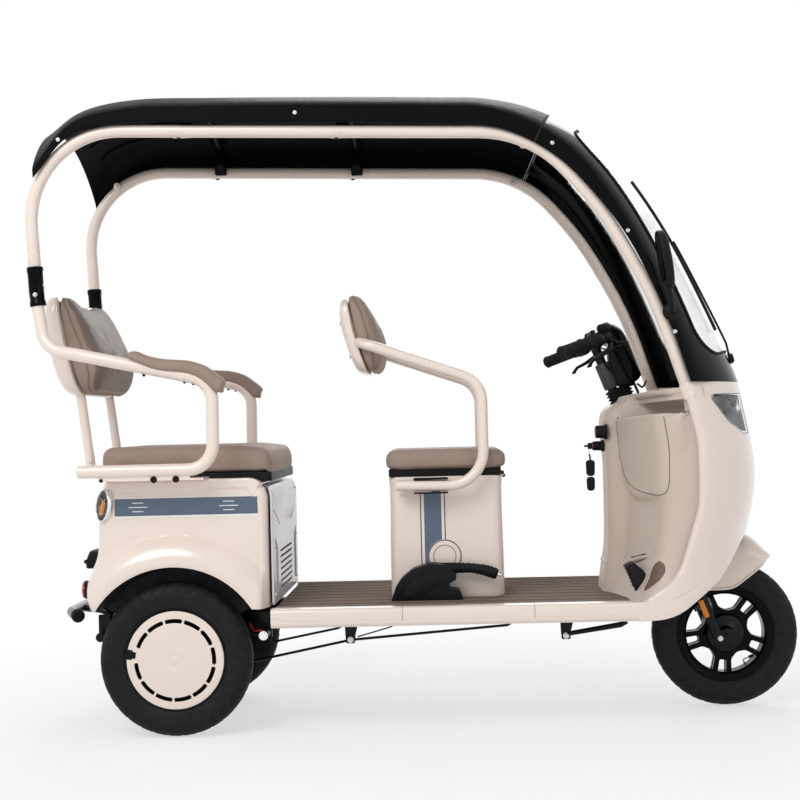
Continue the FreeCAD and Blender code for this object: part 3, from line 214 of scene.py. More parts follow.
M = {
    "cream": paint("cream_paint", srgb(236, 220, 209), 0.22, 0.7),
    "cream_tube": paint("cream_tube_paint", srgb(238, 222, 210), 0.3, 0.5),
    "beige": plastic("inner_shield_plastic", srgb(205, 189, 176), 0.42, 1100.0, 0.08, 0.02),
    "taupe": leather("taupe_leatherette", srgb(158, 139, 127), 0.5),
    "mat_line": plastic("mat_line", srgb(90, 78, 70), 0.7, 700.0, 0.2, gleam=0.03),
    # Darker copy of the leather for the rear pad's forward-facing side: painted shade.
    "taupe_painted_shade": leather("taupe_painted_shade", srgb(128, 113, 106)),
    "taupe_dark": plastic("mat_rubber", srgb(128, 113, 103), 0.7, 700.0, 0.2, gleam=0.03),
    "piping": leather("piping_leatherette", srgb(138, 119, 106)),
    "black": plastic("black_plastic", srgb(20, 20, 22), 0.46, gleam=0.15),
    "satin": plastic("canopy_satin", srgb(12, 12, 13), 0.45, 800.0, 0.08, gleam=0.05),
    "gloss": paint("black_gloss", srgb(7, 7, 8), 0.1, 0.05, 0.05, 0.01, 0.05),
    "enamel": paint("black_enamel", srgb(11, 11, 12), 0.3, 0.1, 0.08, 0.05, 0.15),
    "tyre": rubber("tyre_rubber", srgb(21, 21, 24)),
    "rubber": rubber("soft_rubber", srgb(20, 20, 21)),
    "chrome": metal("chrome", 0.86, 0.88, 0.08),
    "steel": metal("bumper_steel", 0.24, 0.25, 0.16),
    "zinc": metal("zinc_screws", 0.62, 0.64, 0.3),
    "cast": metal("cast_alloy", 0.22, 0.23, 0.48),
    "blue": paint("stripe_blue", srgb(80, 97, 118), 0.3, 0.3, 0.02),
    "white": paint("stripe_white", srgb(236, 234, 232), 0.3, 0.5, 0.01),
    "navy": paint("stripe_edge", srgb(64, 62, 72), 0.3, 0.5, 0.02),
    "panel": paint("panel_silver", srgb(206, 204, 206), 0.32, 0.3, 0.03),
    "glass": clear("windscreen_clear", (0.97, 0.98, 1.0, 1.0), 0.02, 0.35),
    "lens": clear("lamp_lens", (0.95, 0.97, 1.0, 1.0), 0.03, 0.1),
    "amber": clear("amber_lens", srgb(236, 138, 18), 0.12, None, 0.12),
    "red": clear("red_lens", srgb(178, 26, 22), 0.08, None, 0.35),
    # dark: near-black sheets standing in for the shade in recesses: painted shade.
    "dark": plastic("recess_painted_shade", srgb(20, 19, 19), 0.7, 500.0, 0.2),
    "smoke": metal("smoked_chrome", 0.10, 0.11, 0.16),
    "block": plastic("lock_plastic", srgb(66, 64, 70), 0.5, gleam=0.3),
    "screen": paint("display_screen", srgb(20, 26, 30), 0.08, 0.8, 0.02, 0.0),
    # joint: a darker line along the foot of each pocket front's bulge, painted shade of its groove.
    "joint": plastic("pocket_groove_painted_shade", srgb(132, 116, 104), 0.5, 700.0, 0.15),
    # brown: the sills' joint lines, and a painted shadow on the shield beside the pedal.
    "brown": plastic("brown_joints_and_painted_shadow", srgb(106, 88, 76), 0.5, 700.0, 0.15),
}
for name in ("glass", "lens"):
    M[name].surface_render_method = "BLENDED"


# ==== mesh helpers ====
def dress(ob, material, body="chassis", nodes=(), slot=None, angle=38):
    """Give a piece its finish, its body and the nodes that it stands for."""
    me = ob.data
    if not me.materials:
        me.materials.append(M[material])
    me.shade_smooth()
    me.set_sharp_from_angle(angle=radians(angle))
    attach(ob, body)
    if nodes:
        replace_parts(ob, *nodes)
    return ob


def raw(name, verts, faces, weld=False):
    """A plain object from millimetre points."""
    bm = bmesh.new()
    made = [bm.verts.new(Vector(v) * MM) for v in verts]
    for face in faces:
        try:
            bm.faces.new([made[i] for i in face])
        except ValueError:             # the same face twice
            pass
    if weld:
        bmesh.ops.remove_doubles(bm, verts=bm.verts, dist=2e-5)
    bmesh.ops.recalc_face_normals(bm, faces=bm.faces)
    me = bpy.data.meshes.new(name)
    bm.to_mesh(me)
    bm.free()
    ob = bpy.data.objects.new(name, me)
    bpy.context.scene.collection.objects.link(ob)
    return ob


def modify(ob, kind, **values):
    mod = ob.modifiers.new(kind.lower(), kind)
    for key, value in values.items():
        setattr(mod, key, value)


def mesh(name, verts, faces, material, body="chassis", nodes=(), slot=None, angle=38, thick=0.0, offset=-1.0,
         bevel=0.0, weld=False):
    """A finished mesh from millimetre points, with its modifiers applied."""
    ob = raw(name, verts, faces, weld)
    if thick:
        modify(ob, "SOLIDIFY", thickness=thick * MM, offset=offset, use_even_offset=False)
    if bevel:
        add_bevel(ob, bevel)
    return dress(bake(ob), material, body, nodes, slot, angle)


def add_bevel(ob, width, segments=2, angle=32):
    modify(ob, "BEVEL", width=width * MM, segments=segments, limit_method="ANGLE", angle_limit=radians(angle),
           harden_normals=False)


def bake(ob):
    """Apply every modifier."""
    if ob.modifiers:
        bpy.context.view_layer.update()
        graph = bpy.context.evaluated_depsgraph_get()
        me = bpy.data.meshes.new_from_object(ob.evaluated_get(graph))
        old = ob.data
        ob.modifiers.clear()
        ob.data = me
        if old.users == 0:
            bpy.data.meshes.remove(old)
    return ob


def boolean(ob, cutters, bevel=0.0, angle=38):
    """Cut pieces out of a mesh."""
    for cutter in cutters:
        modify(ob, "BOOLEAN", operation="DIFFERENCE", solver="EXACT", object=cutter)
        bake(ob)
        me = cutter.data
        bpy.data.objects.remove(cutter)
        bpy.data.meshes.remove(me)
    if bevel:
        add_bevel(ob, bevel)
        bake(ob)
    ob.data.shade_smooth()
    ob.data.set_sharp_from_angle(angle=radians(angle))
    return ob


def rounded(corners, closed=True, steps=8):
    """Points along straight runs joined by arcs; a corner is coordinates and a last radius."""
    count, size = len(corners), len(corners[0]) - 1

    def place(corner):
        return Vector((*corner[:size], 0.0)[:3])
    points = []
    for index, corner in enumerate(corners):
        here, radius = place(corner), corner[-1]
        if radius <= 0 or (not closed and index in (0, count - 1)):
            points.append(here)
            continue
        a, b = place(corners[index - 1]) - here, place(corners[(index + 1) % count]) - here
        limit = (0.98 if index in (1, count - 2) and not closed else 0.499) * min(a.length, b.length)
        a.normalize()
        b.normalize()
        half = a.angle(b) / 2
        reach = radius / tan(half)
        if reach > limit:
            reach, radius = limit, limit * tan(half)
        centre = here + (a + b).normalized() * (radius / sin(half))
        start, end = here + a * reach - centre, here + b * reach - centre
        turn = start.angle(end)
        number = max(2, int(steps * max(0.35, turn / 1.2)))
        axis = start.cross(end).normalized()
        points += [centre + Matrix.Rotation(turn * k / number, 3, axis) @ start for k in range(number + 1)]
    return points


def flat(corners, steps=8):
    """Rounded outline as pairs."""
    return [(p.x, p.y) for p in rounded(corners, True, steps)]


def prism(name, outline, low, high, axis="y"):
    """Closed prism from an outline across an axis, as a cutter."""
    count = len(outline)
    place = {"y": lambda a, b, c: (a, c, b), "z": lambda a, b, c: (a, b, c), "x": lambda a, b, c: (c, a, b)}[axis]
    verts = [place(*p[:2], level) for level in (low, high) for p in outline]
    faces = [tuple(range(count)), tuple(range(count, 2 * count))]
    faces += [(i, (i + 1) % count, (i + 1) % count + count, i + count) for i in range(count)]
    return raw(name, verts, faces)


def solid(name, outline, low, high, material, axis="y", bevel=2.0, **kw):
    """Finished prism with rounded edges."""
    ob = prism(name, outline, low, high, axis)
    if bevel:
        add_bevel(ob, bevel, 3)
        bake(ob)
    return dress(ob, material, **kw)


def grid(rows, closed_u=False, closed_v=False):
    """Vertices and faces of a grid of rows of points."""
    count, total = len(rows[0]), len(rows)
    faces = []
    for j in range(total if closed_v else total - 1):
        for i in range(count if closed_u else count - 1):
            near, far = j * count, (j + 1) % total * count
            faces.append((near + i, near + (i + 1) % count, far + (i + 1) % count, far + i))
    return [p for row in rows for p in row], faces


def caps(rows):
    """Flat end faces of a closed grid."""
    count, last = len(rows[0]), (len(rows) - 1) * len(rows[0])
    return [tuple(range(count)), tuple(range(last, last + count))]


def lathe_rows(profile, centre, axis="y", count=64):
    """Rows of a surface turned about the Y or Z axis; the profile is radius, place along the axis."""
    rows = []
    for radius, along in profile:
        row = []
        for a in [radians(360.0 * index / count) for index in range(count)]:
            u, v = radius * cos(a), radius * sin(a)
            row.append(tuple(c + s for c, s in zip(centre, (u, along, v) if axis == "y" else (u, v, along))))
        rows.append(row)
    return rows


def aimed(rows, aim, place):
    """Rows drawn up the Z axis, turned to point along aim and moved to a place."""
    turn = Vector(aim).to_track_quat("Z", "Y").to_matrix()
    return [[tuple(turn @ Vector(p) + Vector(place)) for p in row] for row in rows]


def lathe(name, profile, centre, material, axis="y", count=64, closed=False, aim=None, **kw):
    """Turned piece. With aim, its axis points that way from the centre."""
    if aim is None:
        rows = lathe_rows(profile, centre, axis, count)
    else:
        rows = aimed(lathe_rows(profile, (0, 0, 0), "z", count), aim, centre)
    verts, faces = grid(rows, True, closed)
    if not closed:
        faces += [cap for cap, (radius, along) in zip(caps(rows), (profile[0], profile[-1])) if radius > 0.01]
    return mesh(name, verts, faces, material, weld=True, **kw)


def tube_rows(points, radius, count=16):
    """Rings round a line of points, carried along without twist."""
    points = [Vector(p) for p in points]
    rows = []
    normal = None
    for index, point in enumerate(points):
        along = (points[min(len(points) - 1, index + 1)] - points[max(0, index - 1)]).normalized()
        normal = (normal - along * normal.dot(along) if normal else along.orthogonal()).normalized()
        side = along.cross(normal)
        size = radius[index] if isinstance(radius, (list, tuple)) else radius
        turns = [2 * pi * k / count for k in range(count)]
        rows.append([tuple(point + (normal * cos(a) + side * sin(a)) * size) for a in turns])
    return rows


def tube(name, points, radius, material, count=16, ends="round", **kw):
    """Bent tube with rounded or flat ends, from millimetre points."""
    points = [Vector(p) for p in points]
    radii = list(radius) if isinstance(radius, (list, tuple)) else [radius] * len(points)
    if ends == "round":
        for end, inner in ((0, 1), (-1, -2)):
            tip, size = points[end], radii[end]
            out = (tip - points[inner]).normalized()
            for reach, share in ((0.5, 0.93), (0.85, 0.72), (1.0, 0.35)):
                at = 0 if end == 0 else len(points)
                points.insert(at, tip + out * size * 0.22 * reach)
                radii.insert(at, size * share)
    rows = tube_rows(points, radii, count)
    verts, faces = grid(rows, True)
    return mesh(name, verts, faces + caps(rows), material, **kw)


def merge(name, pieces):
    """Join pieces that have the same body into one object."""
    first = pieces[0]
    with bpy.context.temp_override(active_object=first, selected_editable_objects=pieces, selected_objects=pieces,
                                   object=first):
        bpy.ops.object.join()
    first.name = first.data.name = name
    return first


def curve_at(table, t):
    """Smooth value at t from rows of t, values."""
    if t <= table[0][0]:
        return table[0][1:]
    if t >= table[-1][0]:
        return table[-1][1:]
    k = next(k for k in range(len(table) - 1) if table[k][0] <= t <= table[k + 1][0])
    before, a, b, after = table[max(0, k - 1)], table[k], table[k + 1], table[min(len(table) - 1, k + 2)]
    run = b[0] - a[0]
    u = (t - a[0]) / run
    result = []
    for i in range(1, len(a)):
        m0 = (b[i] - before[i]) / max(1e-9, b[0] - before[0]) * run
        m1 = (after[i] - a[i]) / max(1e-9, after[0] - a[0]) * run
        result.append((2 * u ** 3 - 3 * u ** 2 + 1) * a[i] + (u ** 3 - 2 * u ** 2 + u) * m0
                      + (3 * u ** 2 - 2 * u ** 3) * b[i] + (u ** 3 - u ** 2) * m1)
    return tuple(result)


def step(a, b, x):
    """Smooth rise from 0 at a to 1 at b."""
    t = max(0.0, min(1.0, (x - a) / (b - a)))
    return t * t * (3 - 2 * t)


def steer(height, ahead=0.0, y=0.0):
    """Point on the steering axis at a height, or that far ahead of it square to it."""
    lean = radians(RAKE)
    return Vector((STEER_X - (height - STEER_Z) * tan(lean) + ahead * cos(lean), y, height + ahead * sin(lean)))


def loft(name, outline, levels, material, **kw):
    """Closed piece across y from one outline, drawn in towards its middle at each level: y, shrink."""
    cx, cz = sum(p[0] for p in outline) / len(outline), sum(p[1] for p in outline) / len(outline)
    rows = []
    for y, shrink in levels:
        row = []
        for x, z in outline:
            k = 1 - shrink / max(1e-6, hypot(x - cx, z - cz))
            row.append((cx + (x - cx) * k, y, cz + (z - cz) * k))
        rows.append(row)
    verts, faces = grid(rows, True)
    return mesh(name, verts, faces + caps(rows), material, **kw)


def screw(name, place, aim, material="zinc", radius=5.0, height=2.4, body="chassis"):
    """Domed screw head with a small socket."""
    profile = [(radius, 0), (radius, height * 0.45), (radius * 0.86, height * 0.85), (radius * 0.45, height),
               (radius * 0.42, height * 0.3), (0.0, height * 0.3)]
    return lathe(name, profile, place, material, count=18, aim=aim, body=body)


def hexbolt(name, place, aim, material="zinc", across=8.0, height=5.0, body="chassis"):
    """Hexagon bolt head on its washer."""
    turns = [2 * pi * k / 24 for k in range(24)]
    wide, base = across * 1.25, 1.2
    rows = [[(wide * cos(a), wide * sin(a), level) for a in turns] for level in (0.0, base)]
    for share, level in ((1.0, base), (1.0, base + height * 0.8), (0.86, base + height), (0.0, base + height)):
        row = []
        for a in turns:
            hexed = across * cos(pi / 6) / cos((a % (pi / 3)) - pi / 6)
            size = (hexed if share > 0.9 else min(hexed, across * 0.9)) * (1 if share else 0)
            row.append((size * cos(a), size * sin(a), level))
        rows.append(row)
    verts, faces = grid(aimed(rows, aim, place), True)
    faces.append(tuple(range(24)))
    return mesh(name, verts, faces, material, weld=True, body=body, angle=25)


SIDES = (-1, 1)              # right, left


def tag(side):
    return "left" if side > 0 else "right"


def skin(name, rows, material, closed_u=False, closed_v=False, **kw):
    """A mesh from a grid of rows of points."""
    return mesh(name, *grid(rows, closed_u, closed_v), material, **kw)


def plate(x0, x1, z0, z1, radius, steps=4):
    """Outline of a rectangle with round corners."""
    return flat([(x0, z0, radius), (x1, z0, radius), (x1, z1, radius), (x0, z1, radius)], steps)


def polar(radius, angle, y=0.0):
    """Vector in the upright plane, y to the left."""
    return Vector((radius * cos(angle), y, radius * sin(angle)))


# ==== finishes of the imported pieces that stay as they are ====
FINISH = {"main_frame": "enamel", "rear_springs": "enamel", "fork": "enamel", "rear_axle": "cast", "floor_pan": "cream",
          "rear_arm_frames": "cream_tube", "driver_arm_frame": "cream_tube"}
for node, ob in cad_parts.items():
    for slot in ob.material_slots:
        slot.material = M[FINISH.get(node, "black")]




# ==== tyres and wheels ====
HALF_TYRE = TYRE_W / 2
# Half of the tyre's section, from the bead to the middle of the tread: share, radius, half width.
TYRE_WALL = [(0.0, 127.5, 24.5), (0.06, 134.5, 27.0), (0.1, 137.5, 30.5), (0.16, 146, 35.5),
             (0.25, 163, HALF_TYRE - 0.6), (0.31, 176, HALF_TYRE), (0.36, 187.5, HALF_TYRE - 2.2),
             (0.405, 196.5, HALF_TYRE - 8.5), (0.44, 203, HALF_TYRE - 18), (0.5, TYRE_R, 0.0)]


def tread(u, angle):
    """Depth of the tread grooves at a place on the tyre."""
    across, pitch = abs(u - 0.5) * 2, 2 * pi / 32
    way, shift = (1, pitch / 2) if u > 0.5 else (-1, 0)
    depth = 0.0
    if 0.19 < across < 0.42:
        near = abs((angle + (across - 0.19) * 0.62 * way + shift) % pitch - pitch / 2) * TYRE_R
        width = 3.4 * (1 - 0.5 * abs(across - 0.3) / 0.12)
        depth = 3.2 * step(width, width * 0.45, near)
    if across < 0.30:
        near = abs((angle + across * 0.42 * way + shift) % pitch - pitch * 0.2) * TYRE_R
        depth = max(depth, 3.0 * step(3.6, 1.8, near) * step(0.3, 0.26, across) * step(0.02, 0.05, across))
    return max(depth, 2.6 * step(2.2, 1.0, across * 42))


def tyre(name, x, y, body, node):
    """Road tyre with grooved shoulders and moulded rings on its walls, from one bead (u 0) to the other (u 1)."""
    across, turns = 64, [2 * pi * i / 384 for i in range(384)]
    rows = []
    for u in [j / across for j in range(across + 1)]:
        radius, side = curve_at(TYRE_WALL, min(u, 1 - u))
        radius, push = min(radius, TYRE_R), 1.0 if u > 0.5 else -1.0
        ring = 0.8 * step(0.012, 0.004, abs(min(u, 1 - u) - 0.135)) + 0.5 * step(0.01, 0.003, abs(min(u, 1 - u) - 0.29))
        row = []
        for a in turns:
            depth = tread(u, a)
            out = radius - depth
            row.append((x + out * cos(a), y + push * (side + ring - depth * 0.35 * (abs(u - 0.5) > 0.12)),
                        AXLE_Z + out * sin(a)))
        rows.append(row)
    rows += [[(x + 121 * cos(a), y + s, AXLE_Z + 121 * sin(a)) for a in turns] for s in (22, -22)]
    return skin(name, rows, "tyre", True, True, body=body, nodes=(node,), slot="tyre_rubber", angle=34)


tyre("tyre_front", F, 0.0, "front_wheel", "front_tyre")
for side in SIDES:
    tyre("tyre_rear_" + tag(side), R, side * WHEEL_Y, "rear_wheel_" + tag(side), "rear_tyre_" + tag(side))


def rim(name, x, y, body, material, inner, nodes):
    """Drop-centre rim with rolled lips."""
    lip = [(inner, 9), (inner + 6, 3), (128, 1.6), (132, -0.4), (135.4, -0.2), (136.2, 2.0), (135, 4.4), (130, 5),
           (127, 7), (126.5, 14), (118, 20)]
    profile = [(r, d - 31) for r, d in lip] + [(r, 31 - d) for r, d in reversed(lip)]
    skin(name, lathe_rows(profile, (x, y, AXLE_Z), "y", 128), material, True, True, body=body, nodes=nodes, angle=30)


def front_wheel():
    """Cast wheel with five split spokes, a drum brake and a valve."""
    hub, body = Vector((F, 0.0, AXLE_Z)), "front_wheel"
    rim("rim_front", F, 0.0, body, "gloss", 111.0, (body,))
    for side in SIDES:
        inner, outer = (6.0, 21.0) if side > 0 else (-21.0, -6.0)
        rows = lathe_rows([(50, inner), (50, outer), (114, outer), (114, inner)], hub, "y", 120)
        spider = skin("spokes_" + tag(side), rows, "gloss", True, True, body=body, angle=30)
        slot = flat([(77, -9.5, 4), (113, -12.5, 4), (113, 12.5, 4), (77, 9.5, 4)], 5)
        arc = [(118 * cos(radians(t)), 118 * sin(radians(t)), 0) for t in (-16, -8, 0, 8, 16)]
        window = flat([(63, 0, 20), (72, -24, 18), (106, -43, 5)] + arc + [(106, 43, 5), (72, 24, 18)], 6)
        cutters = []
        for k in range(5):
            for shape, a in ((slot, radians(48 + 72 * k)), (window, radians(84 + 72 * k))):
                line = [(F + p * cos(a) - q * sin(a), AXLE_Z + p * sin(a) + q * cos(a)) for p, q in shape]
                cutters.append(prism("window", line, -40, 40))
        boolean(spider, cutters, bevel=1.6, angle=30)
    for side in SIDES:
        drum = [(0, 0), (20, 0), (22, -1.5), (24, -1.5), (26, 0), (46, 1.0), (50, 2.0), (53.5, 5.5), (54, 9), (54, 26)]
        lathe("drum_" + tag(side), [(r, side * (34 - d)) for r, d in drum], hub, "enamel", "y", 80, body=body)
    pieces = []
    for a in [radians(20 + 90 * k) for k in range(4)]:
        for side in SIDES:
            pieces.append(screw("drum_screw", hub + polar(40, a, side * 33), (0, side, 0), "enamel", 3.6, 2.4, body))
    for a in [radians(30 * k) for k in range(12)]:
        verts = [hub + polar(r, a, y) + polar(turn, a + pi / 2) for turn in (-1.4, 1.4)
                 for r, y in ((50, -14), (56.5, -14), (56.5, 14), (50, 14))]
        faces = [(0, 1, 2, 3), (7, 6, 5, 4), (0, 4, 5, 1), (1, 5, 6, 2), (2, 6, 7, 3), (3, 7, 4, 0)]
        pieces.append(mesh("hub_fin", verts, faces, "enamel", body, bevel=0.6))
    merge("hub_details", pieces)
    a = radians(-58)
    root = hub + polar(117, a)
    bend = root - polar(22, a)
    tip = bend + Vector((20, -6, 9))
    tube("valve_stem", rounded([(*root, 0), (*bend, 6), (*tip, 0)], False, 4), 2.6, "zinc", 12, body=body)
    tube("valve_cap", [tip - Vector((2, -0.6, 1)), tip + Vector((9, -2.7, 4))], 4.2, "black", 12, body=body)


def rear_wheel(side):
    """Steel rim under a dished cover with a ring of slots and a notch at the valve."""
    name = tag(side)
    body = "rear_wheel_" + name
    y = side * WHEEL_Y
    rim("rim_rear_" + name, R, y, body, "enamel", 104.0, (body,))
    disc = [(0, 8), (60, 8), (100, 12), (116, 14), (122, 12), (122, 8), (100, 6), (40, 0), (0, 0)]
    lathe("wheel_disc_" + name, [(r, side * d) for r, d in disc], (R, y, AXLE_Z), "enamel", "y", 96, body=body)
    # cover: rings of points, with the slots and the valve notch left out
    around = 432
    dome = {0.01: 5.2, 9: 5.1, 9.6: 4.6, 17.5: 4.2, 18.2: 4.9}
    radii = [*dome, 36, 60, 82, 94, 99.6, 103, 107, 110.6, 116, 124, 130, 133.2, 134.3]
    rows = []
    for radius in radii:
        rise = dome.get(radius, 5.6 - 5.2 * (radius / 134) ** 2.2) - max(0.0, radius - 130) * 1.1
        rows.append(lathe_rows([(radius, side * (31.5 + rise))], (R, y, AXLE_Z), "y", around)[0])
    verts, faces = grid(rows, True)

    def off(a, middle):
        return abs((a - middle + 180) % 360 - 180)
    keep = []
    for index, face in enumerate(faces):
        ring, place = divmod(index, around)
        low, high = radii[ring], radii[ring + 1]
        a = degrees(2 * pi * (place + 0.5) / around) % 360
        a = (180 - a) % 360 if side > 0 else a
        reach = 12.9 if 102 < low < 106.5 else 12.0
        slot = 99 < low and high < 111.5 and any(off(a, (148 - 28.45 * k) % 360) < reach for k in range(12))
        notch = low > 105 and off(a, 172) * radians(1) * 120 < 12.5 * (1 if low > 111 else 0.72)
        if not slot and not notch:
            keep.append(face)
    mesh("wheel_cover_" + name, verts, keep, "cream", body, thick=2.2, offset=-1, bevel=0.5, weld=True,
         slot="cream_metal", angle=30)
    a = radians(172 if side < 0 else 8)
    place = Vector((R, y, AXLE_Z)) + polar(120, a, side * 26)
    tube("valve_" + name, [place, place + polar(-6, a, side * 9)], 3.4, "rubber", 12, body=body)


front_wheel()
for side in SIDES:
    rear_wheel(side)


# ==== rear box ====
REAR_EDGE = [(BODY_BASE - 2, -242), (360, -250), (402, -256), (440, -243), (480, -226), (520, -220), (600, -218),
             (660, -208), (BODY_TOP, -200)]
FRONT_EDGE = 260.0


def rear_edge(z):
    """Rear face of the box at a height, as x from the axle."""
    return curve_at(REAR_EDGE, z)[0]


def bulge(dx, z):
    """How far the fender stands out of the box's side."""
    rho, reach = hypot(dx, z - AXLE_Z), 82
    if rho >= ARCH_R + reach:
        return 0.0
    rise = FENDER_OUT * sin(pi / 2 * min(1.0, (ARCH_R + reach - rho) / reach * 1.25)) ** 0.85
    if rho < ARCH_R + 9:
        rise -= 3.5 * (1 - max(0.0, rho - ARCH_R) / 9)
    return rise * step(FRONT_EDGE + 2, FRONT_EDGE - 34, dx)


def plan_line(z, inset):
    """Plan outline of the box at a height: x from the axle, y, whether it is a side."""
    rear, front, half = rear_edge(z) + inset, FRONT_EDGE - inset, BODY_HALF - inset
    back, nose = 52.0, 24.0

    def run(x0, y0, x1, y1, count, is_side=0):
        return [(x0 + (x1 - x0) * k / count, y0 + (y1 - y0) * k / count, is_side) for k in range(count + 1)]

    def turn(x, y, radius, first, count):
        angles = [radians(first + 90 * k / count) for k in range(1, count)]
        return [(x + radius * cos(a), y + radius * sin(a), 0) for a in angles]
    a, b = rear + back, front - nose
    return (run(a, -half, b, -half, 84, 1) + turn(b, -half + nose, nose, -90, 9)
            + run(front, -half + nose, front, half - nose, 12) + turn(b, half - nose, nose, 0, 9)
            + run(b, half, a, half, 84, 1) + turn(a, half - back, back, 90, 12)
            + run(rear, half - back, rear, -half + back, 14) + turn(a, -half + back, back, 180, 12))


def frame_line(dx, z):
    """Raised moulding along the box's top and front edges: how far it stands out."""
    inner_x, inner_z, radius = FRONT_EDGE - 26, BODY_TOP - 26, 62.0
    d = max(dx - inner_x, z - inner_z)
    if dx > inner_x - radius and z > inner_z - radius:
        d = hypot(dx - (inner_x - radius), z - (inner_z - radius)) - radius
    return 4.5 * step(-1.5, 2.5, d)


def round_top(ob, radius=60.0):
    """Turn the square top front corner of the box into a round one."""
    x0, z0 = R + FRONT_EDGE - radius, BODY_TOP - radius
    bm = bmesh.new()
    bm.from_mesh(ob.data)
    for k in range(1, 9):
        for spot, way in (((0, 0, z0 + radius * k / 9), (0, 0, 1)), ((x0 + radius * k / 9, 0, 0), (1, 0, 0))):
            bmesh.ops.bisect_plane(bm, geom=bm.verts[:] + bm.edges[:] + bm.faces[:], plane_co=Vector(spot) * MM,
                                   plane_no=way)
    for v in bm.verts:
        dx, dz = v.co.x / MM - x0, v.co.z / MM - z0
        if dx > 0 and dz > 0:
            scale = max(dx, dz) / hypot(dx, dz)
            v.co.x, v.co.z = (x0 + dx * scale) * MM, (z0 + dz * scale) * MM
    bm.to_mesh(ob.data)
    bm.free()
    ob.data.shade_smooth()
    ob.data.set_sharp_from_angle(angle=radians(38))


def rear_box():
    """Outer skin of the box with flared arches and a raised border, and dark sheets in the wheel housings as painted
    shade.
    """
    levels = [BODY_BASE]
    while levels[-1] < BODY_TOP - 12:
        levels.append(levels[-1] + (5.0 if levels[-1] < 560 or levels[-1] > 650 else 9.0))
    rows = []
    for z, round_in in [(z, 0.0) for z in levels] + [(BODY_TOP - 8, 0.0), (BODY_TOP - 4, 0.7), (BODY_TOP - 1.2, 2.6),
                                                     (BODY_TOP, 6.0)]:
        row = []
        for dx, y, is_side in plan_line(z, 6.0 + round_in):
            if is_side or abs(y) > BODY_HALF - 30:
                share = 1 if is_side else step(BODY_HALF - 60, BODY_HALF - 6, abs(y))
                y += (-1 if y < 0 else 1) * (bulge(dx, z) + frame_line(dx, z)) * share
            row.append((R + dx, y, z))
        rows.append(row)
    for inset, drop in ((34.0, 0), (36.0, 14)):
        rows.append([(R + dx, y, BODY_TOP - drop) for dx, y, s in plan_line(BODY_TOP, inset)])
    box = skin("rear_box_skin", rows, "cream", True, nodes=("rear_body",), slot="cream_body", thick=4.0)
    wheel = [(0, 0), (ARCH_R, 0), (ARCH_R, 160), (0, 160)]
    wells = [grid(lathe_rows(wheel, (R, y, AXLE_Z), "y", 160), True) for y in (-430, 270)]
    boolean(box, [raw("well", *well, weld=True) for well in wells], bevel=1.2)
    round_top(box)
    first = asin((BODY_BASE + 4 - AXLE_Z) / ARCH_R)
    turns = [first + (pi - 2 * first) * k / 48 for k in range(49)]
    # Dark sheets inside the wheel arches: painted shade.
    for side in SIDES:
        section = ((60, 256), (120, 256), (200, 256), (238, 258), (249, 268), (250.5, 300), (250.5, 350))
        rows = [[(R + radius * cos(a), side * y, AXLE_Z + radius * sin(a)) for a in turns] for radius, y in section]
        skin("wheel_well_shade_" + tag(side), rows, "dark", thick=2.0, offset=0)


def band(x0, x1, z0, z1, lift, material, side, nx=24, nz=1, name="band"):
    """Thin strip laid on the box's side, lifted off its skin."""
    rows = []
    for z in [z0 + (z1 - z0) * j / nz for j in range(nz + 1)]:
        places = [x0 + (x1 - x0) * i / nx for i in range(nx + 1)]
        rows.append([(R + dx, side * (BODY_HALF - 6 + bulge(dx, z) + frame_line(dx, z) + lift), z) for dx in places])
    return skin(name, rows, material, thick=0.5, offset=0)


def side_stripes(side):
    """Blue stripe with two light lines and two groups of short lines."""
    band(-159, 228, 595, 641, 0.5, "blue", side, nz=3, name="stripe_" + tag(side))
    pieces = [band(-160, 230, z0, z1, 0.6, "white", side) for z0, z1 in ((589, 594.5), (642.5, 645.5))]
    for centre in (-96, 150):
        for reach, z in ((15, 629.5), (26, 618), (15, 606.5)):
            pieces.append(band(centre - reach, centre + reach, z - 1.1, z + 1.1, 0.9, "white", side, 4))
    merge("stripe_lines_" + tag(side), pieces)


def box_front():
    """Front panel with louvres and a recess on each side."""
    x, half, thick = span("rear_box_panel")[0].x, 317.0, 5.0
    low = FLOOR_TOP
    panel = prism("front_panel", flat([(-half, low + 6, 10), (half, low + 6, 10), (half, BODY_TOP - 16, 46),
                                       (-half, BODY_TOP - 16, 46)], 10), x - 1.5, x + thick, "x")
    add_bevel(panel, 2.2, 3)
    bake(panel)
    panel.data.materials.append(M["panel"])
    cutters = [prism("louvre", plate(-150, 150, z, z + 7, 3), x - 6, x + 12, "x")
               for z in [low + 34 + 17 * k for k in range(7)]]
    for side in SIDES:
        near, far = side * 205, side * 276
        flap = flat([(near, low + 30, 8), (far, low + 30, 8), (far, low + 190, 8), (near, low + 150, 8)], 4)
        cutters.append(prism("flap", flap, x + 1, x + 12, "x"))
    boolean(panel, cutters)
    round_top(panel)
    dress(panel, "panel", nodes=("rear_box_panel",), slot="panel_grey")
    # Dark sheet behind the louvres and recesses: painted shade.
    back = [(-290, low + 14), (290, low + 14), (290, BODY_TOP - 66), (-290, BODY_TOP - 66)]
    solid("louvre_painted_shade", back, x - 4.5, x - 2.0, "dark", "x", 0)
    pieces = []
    x += thick
    for side in SIDES:
        pieces += [screw("panel_screw", (x, side * 286, z), (1, 0, 0), "zinc", 4.5)
                   for z in (low + 30, 500, BODY_TOP - 50)]
        pieces.append(tube("panel_fold", [(x + 0.4, side * 150, low + 215), (x + 0.4, side * 296, low + 262)], 1.6,
                           "panel", 8))
    round_top(merge("panel_fittings", pieces))


rear_box()
for side in SIDES:
    side_stripes(side)
box_front()


